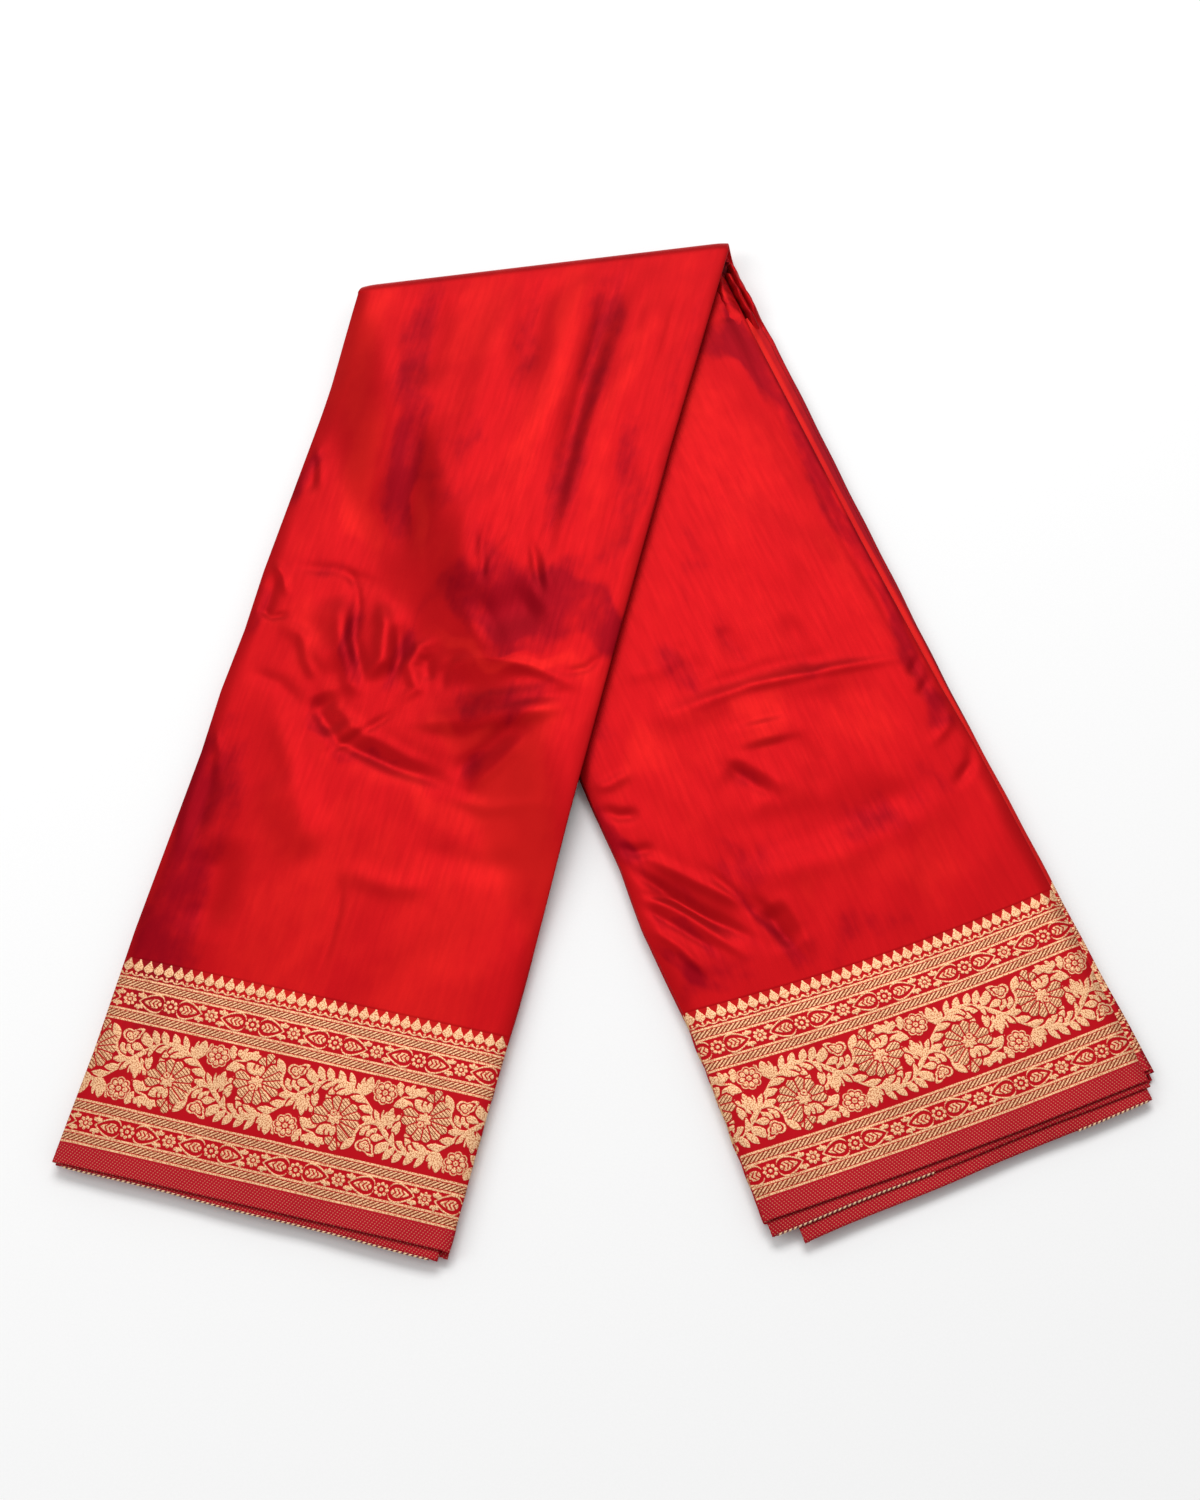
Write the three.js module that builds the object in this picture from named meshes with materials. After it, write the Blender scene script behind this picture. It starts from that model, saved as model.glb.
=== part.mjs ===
// A silk saree, pleated into a narrow stack, folded over once in the middle and laid flat.
// Its two legs spread from the fold like an upturned V, the left leg lying on the right one near the fold.
// Millimetres, +Z up. The origin is at the middle of the footprint, on the surface that the cloth lies on.
import * as THREE from 'three';

// Driving dimensions
const HALF_WIDTH = 97.8;
const LEG_HEIGHT = 8.7;
const SHEET = 1.2;
const GAP = 0.3;
const LAYERS_HEIGHT = LEG_HEIGHT - SHEET - GAP;
const STACKED_REST = LEG_HEIGHT + GAP;
const FOLD_CENTRE = LEG_HEIGHT + GAP / 2;
const INNER_BEND_RADIUS = 1.65;

// Where the legs' centre lines meet, and the line round which the stack is bent
const APEX = { x: 12.66, y: 292.22 };
const FOLD_AXIS = { x: APEX.x, y: APEX.y - 11.5, angle: THREE.MathUtils.degToRad(1.6) };

// How the left leg comes down from the right one to the surface
const BRIDGE = { start: 3, length: 58 };

// The last stretch before each hem, where single layers lie in place of the shared solid's upper part
const HEM_SHEET = 1.1;
const HEM_SHEET_LENGTH = 16;
const HEM_STEP = { from: 567.8, to: 568.6 };
const HEM_LAYER_BEDS = [LAYERS_HEIGHT - HEM_SHEET, LAYERS_HEIGHT - 2 * HEM_SHEET - GAP];
const HEM_LAYERS_HEIGHT = LAYERS_HEIGHT - 2 * (HEM_SHEET + GAP);

// How the sheets turn down along their folded side edges
const EDGE_TURN = { width: 8, drop: 1.0 };

// How far from the left leg's edge the right leg's folds fade, pressed flat under it, and the slack they leave
const PRESSED_FADE = 16;
const PRESSED_SLACK = 0.6;

function finish(red, green, blue, roughness, metalness) {
  return { color: new THREE.Color().setRGB(red, green, blue, THREE.SRGBColorSpace), roughness, metalness };
}

const SILK = finish(0.82, 0.05, 0.08, 0.42, 0);
const DEEP_SILK = finish(0.62, 0.03, 0.07, 0.55, 0);
const ZARI = finish(0.86, 0.62, 0.36, 0.4, 0.5);

const lerp = THREE.MathUtils.lerp;
const clamp = THREE.MathUtils.clamp;
const smoothstep = THREE.MathUtils.smoothstep;

// Reads a table's column at a place down the leg, straight between its rows
function readTable(table, column, v) {
  const next = table.findIndex((row) => row.v >= v);
  if (next === 0) return table[0][column];
  if (next < 0) return table[table.length - 1][column];
  const before = table[next - 1];
  const after = table[next];
  return lerp(before[column], after[column], (v - before.v) / (after.v - before.v));
}

// Each leg's own frame: u runs across it and v down it from the apex
const left = {
  tilt: THREE.MathUtils.degToRad(-18.545),
  columns: 16,
  fieldRows: 25,
  ledge: 0,
  besideFolds: HALF_WIDTH,
  edges: [
    { v: -35, left: -99.6, right: 101.4, stack: 100.2 },
    { v: 40, left: -99.4, right: 100.4, stack: 99.4 },
    { v: 110, left: -97.8, right: 99.2, stack: 98.4 },
    { v: 235, left: -98.9, right: 98.8, stack: 97.9 },
    { v: 272, left: -97.8, right: 98.8, stack: 97.9 },
    { v: 310, left: -98.7, right: 98.9, stack: 98.0 },
    { v: 347, left: -97.4, right: 98.8, stack: 97.9 },
    { v: 450, left: -98.4, right: 98.6, stack: 97.7 },
    { v: 515, left: -97.2, right: 97.5, stack: 96.6 },
    { v: 573, left: -98.1, right: 97.6, stack: 96.7 },
  ],
  borderLine: () => 465,
  hemLine: () => 572.4,
  folds: [
    { fromU: 46, fromV: -16, toU: 44, toV: 180, width: 11, rise: -1.7 },
    { fromU: 60, fromV: -20, toU: 66, toV: 140, width: 12, rise: 1.2 },
    { fromU: 29, fromV: -5, toU: 28, toV: 150, width: 11, rise: 1.1 },
    { fromU: 3, fromV: 4, toU: 8, toV: 100, width: 10, rise: -1.4 },
    { fromU: -16, fromV: 14, toU: -6, toV: 190, width: 11, rise: 1.1 },
    { fromU: -56, fromV: 36, toU: -44, toV: 110, width: 12, rise: -1.5 },
    { fromU: -44, fromV: 110, toU: -22, toV: 222, width: 10, rise: -1.9 },
    { fromU: -80, fromV: 60, toU: -56, toV: 205, width: 14, rise: 1.3 },
    { fromU: 22, fromV: 250, toU: 56, toV: 224, width: 15, rise: -2.5 },
    { fromU: 2, fromV: 150, toU: 10, toV: 238, width: 12, rise: 1.3 },
    { fromU: 2, fromV: 304, toU: 84, toV: 286, width: 9, rise: 1.9 },
    { fromU: 12, fromV: 285, toU: 80, toV: 270, width: 9, rise: -1.4 },
    { fromU: -47, fromV: 300, toU: -30, toV: 323, width: 9, rise: -1.8 },
    { fromU: -30, fromV: 323, toU: 40, toV: 337, width: 9, rise: -1.7 },
    { fromU: -58, fromV: 240, toU: -42, toV: 290, width: 10, rise: 1.5 },
    { fromU: -26, fromV: 238, toU: -20, toV: 290, width: 9, rise: 1.5 },
    { fromU: -60, fromV: 350, toU: -20, toV: 395, width: 15, rise: 1.3 },
    { fromU: -70, fromV: 390, toU: -66, toV: 450, width: 12, rise: -1.5 },
    { fromU: 82, fromV: 142, toU: 82, toV: 175, width: 10, rise: -1.2 },
  ],
  layerEdges: [
    { rise: 0.00, left: -1.4, right: -1.4, hem: -1.2 },
    { rise: 0.12, left: 0.3, right: 0.1, hem: 0.4 },
    { rise: 0.30, left: 0.2, right: 0.3, hem: 1.0 },
    { rise: 0.36, left: -1.2, right: -1.1, hem: -1.0 },
    { rise: 0.42, left: 0.5, right: 0.2, hem: 0.6 },
    { rise: 0.62, left: 0.2, right: 0.4, hem: 1.3 },
    { rise: 0.68, left: -1.1, right: -1.2, hem: -1.0 },
    { rise: 0.74, left: 0.1, right: 0.2, hem: 0.5 },
    { rise: 0.92, left: 0.2, right: 0.0, hem: 0.4 },
    { rise: 1.00, left: -1.2, right: -1.2, hem: -1.0 },
  ],
  hemLayers: [
    { fromU: -96.5, toU: 93.2, fromHem: 573.0, toHem: 577.2, finish: ZARI },
    { fromU: 30, toU: 97.2, fromHem: 573.4, toHem: 575.0, finish: DEEP_SILK },
  ],
};

const right = {
  tilt: THREE.MathUtils.degToRad(15.622),
  columns: 12,
  fieldRows: 23,
  ledge: 9,
  besideFolds: 88.8,
  edges: [
    { v: 0, left: -97.8, right: 91.0, stack: 98.8 },
    { v: 90, left: -97.8, right: 90.4, stack: 98.8 },
    { v: 240, left: -97.8, right: 91.2, stack: 98.4 },
    { v: 340, left: -98.0, right: 93.4, stack: 97.6 },
    { v: 375, left: -96.8, right: 95.3, stack: 97.8 },
    { v: 410, left: -98.6, right: 95.8, stack: 98.0 },
    { v: 465, left: -95.9, right: 96.4, stack: 98.4 },
    { v: 515, left: -97.1, right: 95.6, stack: 98.8 },
    { v: 572, left: -98.9, right: 95.2, stack: 99.0 },
  ],
  borderLine: (u) => 467 - 0.00045 * (u - 35) ** 2,
  hemLine: (u) => 571.5 - 0.00018 * (u - 35) ** 2,
  folds: [
    { fromU: -58, fromV: 306, toU: 0, toV: 304, width: 9, rise: 1.5 },
    { fromU: 0, fromV: 304, toU: 70, toV: 318, width: 9, rise: 1.4 },
    { fromU: 0, fromV: 322, toU: -2, toV: 340, width: 12, rise: 1.0 },
    { fromU: -28, fromV: 342, toU: -12, toV: 367, width: 9, rise: -1.5 },
    { fromU: -89, fromV: 383, toU: -52, toV: 435, width: 9, rise: -1.7 },
    { fromU: -38, fromV: 421, toU: -34, toV: 448, width: 8, rise: -1.2 },
    { fromU: -60, fromV: 376, toU: 70, toV: 392, width: 13, rise: -1.0 },
    { fromU: 34, fromV: 273, toU: 36, toV: 312, width: 8, rise: -1.1 },
    { fromU: 80, fromV: 84, toU: 82, toV: 290, width: 9, rise: -0.9 },
    { fromU: 20, fromV: 190, toU: 60, toV: 260, width: 18, rise: 0.9 },
  ],
  layerEdges: [
    { rise: 0.00, left: -2.0, right: -1.4, hem: -1.2 },
    { rise: 0.12, left: -0.5, right: 0.2, hem: 0.5 },
    { rise: 0.28, left: -0.4, right: 0.1, hem: 0.9 },
    { rise: 0.33, left: -1.8, right: -1.0, hem: -1.0 },
    { rise: 0.38, left: -0.5, right: 0.3, hem: 0.6 },
    { rise: 0.50, left: -0.2, right: 0.0, hem: 1.2 },
    { rise: 0.54, left: -1.6, right: -9.0, hem: -1.0 },
    { rise: 0.72, left: -0.3, right: -9.0, hem: 0.5 },
    { rise: 0.92, left: -0.2, right: -9.0, hem: 0.4 },
    { rise: 1.00, left: -1.2, right: -9.0, hem: -1.0 },
  ],
  hemLayers: [
    { fromU: -98.0, toU: 95.4, fromHem: 575.4, toHem: 573.4, finish: ZARI },
    { fromU: -85.0, toU: 93.6, fromHem: 583.4, toHem: 579.4, finish: DEEP_SILK },
  ],
};

// The two folded layers that lie on the ledge and fan out of the right leg's outer edge
const SIDE_FOLD = { height: 1.15, width: 8.4 };
const SIDE_FOLDS = [
  {
    bed: 4.75,
    reach: [
      { v: 88, out: 98.4 },
      { v: 200, out: 97.6 },
      { v: 340, out: 97.4 },
      { v: 400, out: 98.0 },
      { v: 566, out: 99.4 },
    ],
  },
  {
    bed: 3.3,
    reach: [
      { v: 86, out: 100.6 },
      { v: 200, out: 99.7 },
      { v: 300, out: 98.5 },
      { v: 400, out: 98.9 },
      { v: 567.4, out: 101.0 },
    ],
  },
];

// The crumpled inner layers at the right end of the fold, in the right leg's frame
const FOLD_GATHERS = [
  { fromU: 97.4, fromV: 38, toU: 97.6, toV: 85, bed: 3.9, height: 6.8, width: 3.6, waves: 2.5, sway: 1.0 },
  { fromU: 93.4, fromV: 44, toU: 93.4, toV: 85, bed: 3.9, height: 7.3, width: 3.2, waves: 2.0, sway: 0.3 },
  { fromU: 87.0, fromV: 56, toU: 84.6, toV: 86, bed: 9.3, height: 2.4, width: 3.4, waves: 1.5, sway: 0.8 },
];

// A gather's section, as shares of its half width, its height and its sway, and how it swells along its length
const GATHER_SECTION = [
  { across: -1, rise: 0, sway: 0 },
  { across: 1, rise: 0, sway: 0 },
  { across: 0.9, rise: 0.6, sway: 0.3 },
  { across: 0, rise: 1, sway: 0.5 },
  { across: -0.8, rise: 0.65, sway: 0.2 },
];
const GATHER_SWELL = { least: 0.45, most: 1, lead: 0.15, ripple: 0.12, ripples: 3.3 };

// Half the slit between the two legs' halves of the bend, as an angle
const BEND_SLIT = 0.04;

// Grid sizes
const EDGE_COLUMN = 0.03;
const HEM_ROWS = 6;
const BEND_STEPS = 8;
const SIDE_FOLD_ROWS = 20;
const GATHER_ROWS = 14;

function legPoint(leg, u, v) {
  const cos = Math.cos(leg.tilt);
  const sin = Math.sin(leg.tilt);
  return { x: APEX.x + u * cos + v * sin, y: APEX.y + u * sin - v * cos };
}

function legCoordinates(leg, x, y) {
  const cos = Math.cos(leg.tilt);
  const sin = Math.sin(leg.tilt);
  return {
    u: (x - APEX.x) * cos + (y - APEX.y) * sin,
    v: (x - APEX.x) * sin - (y - APEX.y) * cos,
  };
}

// How far down the leg its line u meets the fold's axis, and how far along the axis that is
function axisCrossing(leg, u) {
  const cos = Math.cos(FOLD_AXIS.angle);
  const sin = Math.sin(FOLD_AXIS.angle);
  const start = legPoint(leg, u, 0);
  const beyond = (y, x) => (y - FOLD_AXIS.y) * cos - (x - FOLD_AXIS.x) * sin;
  const slope = Math.cos(leg.tilt) * cos + Math.sin(leg.tilt) * sin;
  const v = beyond(start.y, start.x) / slope;
  const spot = legPoint(leg, u, v);
  return { v, along: (spot.x - FOLD_AXIS.x) * cos + (spot.y - FOLD_AXIS.y) * sin };
}

// The height of what the leg lies on
function restHeight(leg, x, y) {
  if (leg === right) return 0;
  const outside = -HALF_WIDTH - legCoordinates(right, x, y).u;
  return STACKED_REST * (1 - smoothstep(outside, BRIDGE.start, BRIDGE.start + BRIDGE.length));
}

// One soft fold's height at (u, v): a ridge, or a trough where its rise is negative
function foldHeight(fold, u, v) {
  const du = fold.toU - fold.fromU;
  const dv = fold.toV - fold.fromV;
  const share = clamp(((u - fold.fromU) * du + (v - fold.fromV) * dv) / (du * du + dv * dv), 0, 1);
  const distance = Math.hypot(u - fold.fromU - share * du, v - fold.fromV - share * dv);
  return fold.rise * Math.exp(-((distance / fold.width) ** 2));
}

// How far the top sheet stands above or below its flat height
function relief(leg, u, v) {
  const pastAxis = v - axisCrossing(leg, u).v;
  let shown = smoothstep(pastAxis, 0, PRESSED_FADE);
  if (leg === right) {
    const spot = legPoint(right, u, v);
    const fromLeftLeg = legCoordinates(left, spot.x, spot.y).u - HALF_WIDTH;
    shown *= smoothstep(fromLeftLeg, 2, 2 + PRESSED_FADE);
  }
  const sum = leg.folds.reduce((total, fold) => total + foldHeight(fold, u, v), 0);
  const fromEdge = Math.min(u - readTable(leg.edges, 'left', v), readTable(leg.edges, 'right', v) - u);
  const turn = clamp(1 - fromEdge / EDGE_TURN.width, 0, 1);
  return shown * sum * (1 - turn) - EDGE_TURN.drop * turn * turn;
}

// A point of a layer at a height above what the leg lies on, down the leg from the axis
function flatPoint(leg, u, v, height) {
  const spot = legPoint(leg, u, v);
  return [spot.x, spot.y, restHeight(leg, spot.x, spot.y) + height];
}

// A point of the bend: the angle runs from 0 on the left leg's side, over the fold, to a half turn below
function bendPoint(u, angle, radius) {
  const share = angle / Math.PI;
  const along = lerp(axisCrossing(left, u).along, axisCrossing(right, u).along, share);
  const out = radius * Math.sin(angle);
  const cos = Math.cos(FOLD_AXIS.angle);
  const sin = Math.sin(FOLD_AXIS.angle);
  return [
    FOLD_AXIS.x + along * cos - out * sin,
    FOLD_AXIS.y + along * sin + out * cos,
    FOLD_CENTRE + radius * Math.cos(angle),
  ];
}

function geometryFrom(points, faces) {
  const geometry = new THREE.BufferGeometry();
  geometry.setAttribute('position', new THREE.Float32BufferAttribute(points.flat(), 3));
  geometry.setIndex(faces.flat());
  geometry.computeVertexNormals();
  return geometry;
}

// A closed solid over a grid, with a wall of several levels all round.
// place(column, row, level) gives a point, level 0 being the underside and the last one the top.
function gridSolid(columns, rows, levels, place) {
  const points = [];
  const faces = [];
  const numbers = new Map();
  const vertex = (i, j, k) => {
    const key = `${i},${j},${k}`;
    if (!numbers.has(key)) {
      numbers.set(key, points.length);
      points.push(place(i, j, k));
    }
    return numbers.get(key);
  };
  const quad = (...corners) => {
    const [a, b, c, d] = corners.map(([i, j, k]) => vertex(i, j, k));
    faces.push([a, b, c], [a, c, d]);
  };
  for (let j = 0; j < rows; j += 1) {
    for (let i = 0; i < columns; i += 1) {
      quad([i, j, levels], [i, j + 1, levels], [i + 1, j + 1, levels], [i + 1, j, levels]);
      quad([i, j, 0], [i + 1, j, 0], [i + 1, j + 1, 0], [i, j + 1, 0]);
    }
  }
  for (let k = 0; k < levels; k += 1) {
    for (let j = 0; j < rows; j += 1) {
      quad([0, j, k], [0, j + 1, k], [0, j + 1, k + 1], [0, j, k + 1]);
      quad([columns, j, k], [columns, j, k + 1], [columns, j + 1, k + 1], [columns, j + 1, k]);
    }
    for (let i = 0; i < columns; i += 1) {
      quad([i, 0, k], [i, 0, k + 1], [i + 1, 0, k + 1], [i + 1, 0, k]);
      quad([i, rows, k], [i + 1, rows, k], [i + 1, rows, k + 1], [i, rows, k + 1]);
    }
  }
  return geometryFrom(points, faces);
}

// A closed solid through rings of points, with a fan over each end
function ringSolid(rings) {
  const size = rings[0].length;
  const points = rings.flat();
  const faces = [];
  for (let row = 0; row < rings.length - 1; row += 1) {
    for (let side = 0; side < size; side += 1) {
      const next = (side + 1) % size;
      const here = row * size;
      const there = here + size;
      faces.push([here + side, here + next, there + next], [here + side, there + next, there + side]);
    }
  }
  const last = (rings.length - 1) * size;
  for (let side = 1; side < size - 1; side += 1) {
    faces.push([0, side + 1, side], [last, last + side, last + side + 1]);
  }
  return geometryFrom(points, faces);
}

// Column places across a sheet from 0 to 1, with a narrow column at each folded edge
function columnShare(column, columns) {
  if (column === 0 || column === columns) return column / columns;
  return lerp(EDGE_COLUMN, 1 - EDGE_COLUMN, (column - 1) / (columns - 2));
}

function acrossLeg(leg, share, v) {
  return lerp(readTable(leg.edges, 'left', v), readTable(leg.edges, 'right', v), share);
}

// A grid point on the flat of the leg: rows run from the fold's axis to the border line, then on to the hem.
// trim holds the layer back from the row's own line, down the leg.
function flatStation(leg, share, row, trim = 0) {
  const between = (u) => {
    const axis = axisCrossing(leg, u).v;
    if (row <= leg.fieldRows) return lerp(axis, leg.borderLine(u), row / leg.fieldRows);
    return lerp(leg.borderLine(u), leg.hemLine(u), (row - leg.fieldRows) / HEM_ROWS);
  };
  const u = acrossLeg(leg, share, between(lerp(-HALF_WIDTH, HALF_WIDTH, share)));
  return { u, v: between(u) + trim };
}

// How far a layer turns down at its side edges on the bend, less and less towards the underside
function bendTurn(share, angle) {
  return share === 0 || share === 1 ? EDGE_TURN.drop * Math.max(Math.cos(angle), 0) : 0;
}

// The left leg's field sheet: down the leg from the bend, and round the fold to the surface below
function leftFieldGeometry() {
  const underRows = 1;
  const underLength = 2;
  const place = (column, row, level) => {
    const share = columnShare(column, left.columns);
    const height = LEG_HEIGHT - SHEET * (1 - level);
    if (row < underRows + BEND_STEPS) {
      const u = acrossLeg(left, share, 0);
      const angle = Math.PI * (1 - Math.max(row - underRows, 0) / BEND_STEPS);
      const point = bendPoint(u, angle, height + GAP / 2 - bendTurn(share, angle));
      if (row === 0) point[1] -= underLength;
      return point;
    }
    const flatRow = row - underRows - BEND_STEPS;
    const station = flatStation(left, share, flatRow, flatRow === left.fieldRows ? -GAP / 2 : 0);
    return flatPoint(left, station.u, station.v, height + relief(left, station.u, station.v));
  };
  return gridSolid(left.columns, underRows + BEND_STEPS + left.fieldRows, 1, place);
}

// The right leg's field sheet, from the inside of the fold to its border
function rightFieldGeometry() {
  const place = (column, row, level) => {
    const share = columnShare(column, right.columns);
    const station = flatStation(right, share, row, row === right.fieldRows ? -GAP / 2 : 0);
    const height = LEG_HEIGHT - SHEET * (1 - level) + relief(right, station.u, station.v);
    return flatPoint(right, station.u, station.v, height);
  };
  return gridSolid(right.columns, right.fieldRows, 1, place);
}

// A leg's zari border, from the field's edge to the hem
function borderGeometry(leg) {
  const place = (column, row, level) => {
    const share = columnShare(column, leg.columns);
    const station = flatStation(leg, share, leg.fieldRows + row, row === 0 ? GAP / 2 : 0);
    const height = LEG_HEIGHT - SHEET * (1 - level) + relief(leg, station.u, station.v);
    return flatPoint(leg, station.u, station.v, height);
  };
  return gridSolid(leg.columns, HEM_ROWS, 1, place);
}

// One of the next layers at a hem, which shows past the top sheet and steps in beside the fanned side folds
function hemLayerGeometry(leg, number) {
  const layer = leg.hemLayers[number];
  const columns = 10;
  const lastRow = 3;
  const place = (column, row, level) => {
    const share = columnShare(column, columns);
    const besideFolds = row < lastRow - 1;
    const u = lerp(layer.fromU, besideFolds ? Math.min(layer.toU, leg.besideFolds) : layer.toU, share);
    const hem = lerp(layer.fromHem, layer.toHem, share);
    const lines = [leg.hemLine(u) - HEM_SHEET_LENGTH, HEM_STEP.from, HEM_STEP.to, hem];
    return flatPoint(leg, u, lines[row], HEM_LAYER_BEDS[number] + HEM_SHEET * level + relief(leg, u, lines[row]));
  };
  return gridSolid(columns, lastRow, 1, place);
}

// A leg's hidden layers: one rounded solid with layered edges, from its half of the bend to its hem
function layersGeometry(leg) {
  const bendRows = BEND_STEPS / 2;
  const quarterTurn = Math.PI / 2 - BEND_SLIT;
  const hemInset = -1;
  const lastRow = bendRows + leg.fieldRows + HEM_ROWS;
  const place = (column, row, level) => {
    const edge = leg.layerEdges[level];
    const share = columnShare(column, leg.columns);
    const layerU = (v) => {
      const stackEdge = readTable(leg.edges, 'stack', v);
      if (column === leg.columns) return stackEdge + edge.right;
      const inset = column === 0 ? -edge.left : 0;
      return inset + lerp(readTable(leg.edges, 'left', v), stackEdge - leg.ledge, share);
    };
    if (row < bendRows) {
      const fromFlat = (1 - row / bendRows) * quarterTurn;
      const angle = leg === left ? fromFlat : Math.PI - fromFlat;
      const outerRadius = LAYERS_HEIGHT + GAP / 2 - bendTurn(share, angle);
      const radius = lerp(INNER_BEND_RADIUS, outerRadius, leg === left ? edge.rise : 1 - edge.rise);
      return bendPoint(layerU(0), angle, radius);
    }
    const station = flatStation(leg, share, row - bendRows, row === lastRow ? hemInset + edge.hem : 0);
    const bottom = row === bendRows ? INNER_BEND_RADIUS - GAP / 2 : 0;
    const flatTop = row >= lastRow - 1 ? HEM_LAYERS_HEIGHT : LAYERS_HEIGHT - (leg === right ? PRESSED_SLACK : 0);
    const height = lerp(bottom, flatTop + relief(leg, station.u, station.v), edge.rise);
    return flatPoint(leg, layerU(station.v), station.v, height);
  };
  return gridSolid(leg.columns, lastRow, leg.layerEdges.length - 1, place);
}

// A folded layer along the right leg's outer edge: square inside, round outside
function sideFoldGeometry(fold) {
  const rings = [];
  const from = fold.reach[0].v;
  const to = fold.reach[fold.reach.length - 1].v;
  const round = SIDE_FOLD.height / 2;
  for (let row = 0; row <= SIDE_FOLD_ROWS; row += 1) {
    const v = lerp(from, to, row / SIDE_FOLD_ROWS);
    const out = readTable(fold.reach, 'out', v);
    const inner = readTable(right.edges, 'stack', v) - SIDE_FOLD.width;
    const section = [
      [inner, fold.bed],
      [out - round, fold.bed],
      [out, fold.bed + round],
      [out - round, fold.bed + SIDE_FOLD.height],
      [inner, fold.bed + SIDE_FOLD.height],
    ];
    rings.push(section.map(([u, height]) => flatPoint(right, u, v, height)));
  }
  return ringSolid(rings);
}

// A crumpled layer at the fold's right end: a low rounded ridge that sways and swells along its length
function gatherGeometry(gather) {
  const rings = [];
  const { least, most, lead, ripple, ripples } = GATHER_SWELL;
  for (let row = 0; row <= GATHER_ROWS; row += 1) {
    const share = row / GATHER_ROWS;
    const sway = gather.sway * Math.sin(share * gather.waves * 2 * Math.PI);
    const arch = Math.sin(Math.PI * Math.min(share + lead, 1));
    const swell = lerp(least, most, arch) + ripple * Math.cos(share * ripples * 2 * Math.PI);
    const u = lerp(gather.fromU, gather.toU, share);
    const v = lerp(gather.fromV, gather.toV, share);
    rings.push(GATHER_SECTION.map((corner) => {
      const across = u + (corner.across * gather.width) / 2 + corner.sway * sway;
      return flatPoint(right, across, v, gather.bed + corner.rise * gather.height * swell);
    }));
  }
  return ringSolid(rings);
}

const saree = new THREE.Group();

function addPiece(name, geometry, finish) {
  const mesh = new THREE.Mesh(geometry, new THREE.MeshStandardMaterial(finish));
  mesh.name = name;
  saree.add(mesh);
}

addPiece('left_face_field', leftFieldGeometry(), SILK);
addPiece('left_face_border', borderGeometry(left), ZARI);
addPiece('left_inner_layers', layersGeometry(left), DEEP_SILK);
addPiece('right_face_field', rightFieldGeometry(), SILK);
addPiece('right_face_border', borderGeometry(right), ZARI);
addPiece('right_inner_layers', layersGeometry(right), DEEP_SILK);
for (const [side, leg] of [['left', left], ['right', right]]) {
  leg.hemLayers.forEach((layer, number) => {
    addPiece(`${side}_hem_layer_${number + 2}`, hemLayerGeometry(leg, number), layer.finish);
  });
}
SIDE_FOLDS.forEach((fold, number) => {
  addPiece(`right_side_fold_${number + 1}`, sideFoldGeometry(fold), SILK);
});
FOLD_GATHERS.forEach((gather, number) => {
  addPiece(`fold_gather_${number + 1}`, gatherGeometry(gather), SILK);
});

export default saree;
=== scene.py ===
"""A red silk saree with gold zari borders, folded over once and laid flat: its cloth, finishes and studio.

Places on the cloth are in millimetres, u across a leg and v down it, and become metres where a mesh is made.
"""

import logging
import math
from collections.abc import Callable, Mapping, Sequence
from dataclasses import dataclass
from enum import Enum
from typing import NamedTuple

import bmesh
import bpy
import numpy as np
from mathutils import Matrix, Vector
from numpy.typing import NDArray


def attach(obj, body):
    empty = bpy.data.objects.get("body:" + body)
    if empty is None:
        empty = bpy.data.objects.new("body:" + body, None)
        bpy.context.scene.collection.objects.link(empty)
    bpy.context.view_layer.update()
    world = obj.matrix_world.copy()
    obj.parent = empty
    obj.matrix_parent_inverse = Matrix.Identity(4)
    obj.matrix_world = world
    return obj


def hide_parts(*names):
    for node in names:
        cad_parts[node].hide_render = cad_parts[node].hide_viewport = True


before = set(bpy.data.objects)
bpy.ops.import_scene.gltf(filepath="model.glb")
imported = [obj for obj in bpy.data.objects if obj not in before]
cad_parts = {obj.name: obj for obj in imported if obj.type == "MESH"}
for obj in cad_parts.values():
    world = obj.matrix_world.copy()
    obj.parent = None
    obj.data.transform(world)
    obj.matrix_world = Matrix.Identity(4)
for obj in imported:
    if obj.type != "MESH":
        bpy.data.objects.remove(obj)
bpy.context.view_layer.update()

Array = NDArray[np.float64]
Place = tuple[float, float]
Colour = tuple[float, float, float]
Point = tuple[float, float, float]

MM = 0.001
BODY = "root"
BARE = -3.0
WELD = 0.01
log = logging.getLogger("saree")


class Slot(Enum):
    """The record's material slots."""

    SILK = "silk"
    LAYERS = "silk_layers"
    ZARI = "zari_border"


class Side(Enum):
    """Which line down a leg: its top sheet's sides, or the outer side of the layers below."""

    LEFT = "left"
    RIGHT = "right"
    STACK = "stack"


class Paint(Enum):
    """How a motif is woven: in plain gold, in gold slashed with silk, or left open to the ground."""

    GOLD = "gold"
    SLASHED = "slashed"
    OPEN = "open"


def lerp(start: Array | float, end: Array | float, share: Array | float) -> Array:
    """The value a share of the way from start to end."""
    return start + (end - start) * share


def smoothstep(value: Array | float, low: float, high: float) -> Array:
    """A soft step from 0 at low to 1 at high."""
    share = np.clip((value - low) / (high - low), 0.0, 1.0)
    return share * share * (3.0 - 2.0 * share)


def line_distance(u: Array, v: Array, line: Sequence[Place]) -> Array:
    """How far each place is from a line of straight stretches."""
    return along_line(u, v, line)[0]


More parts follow.
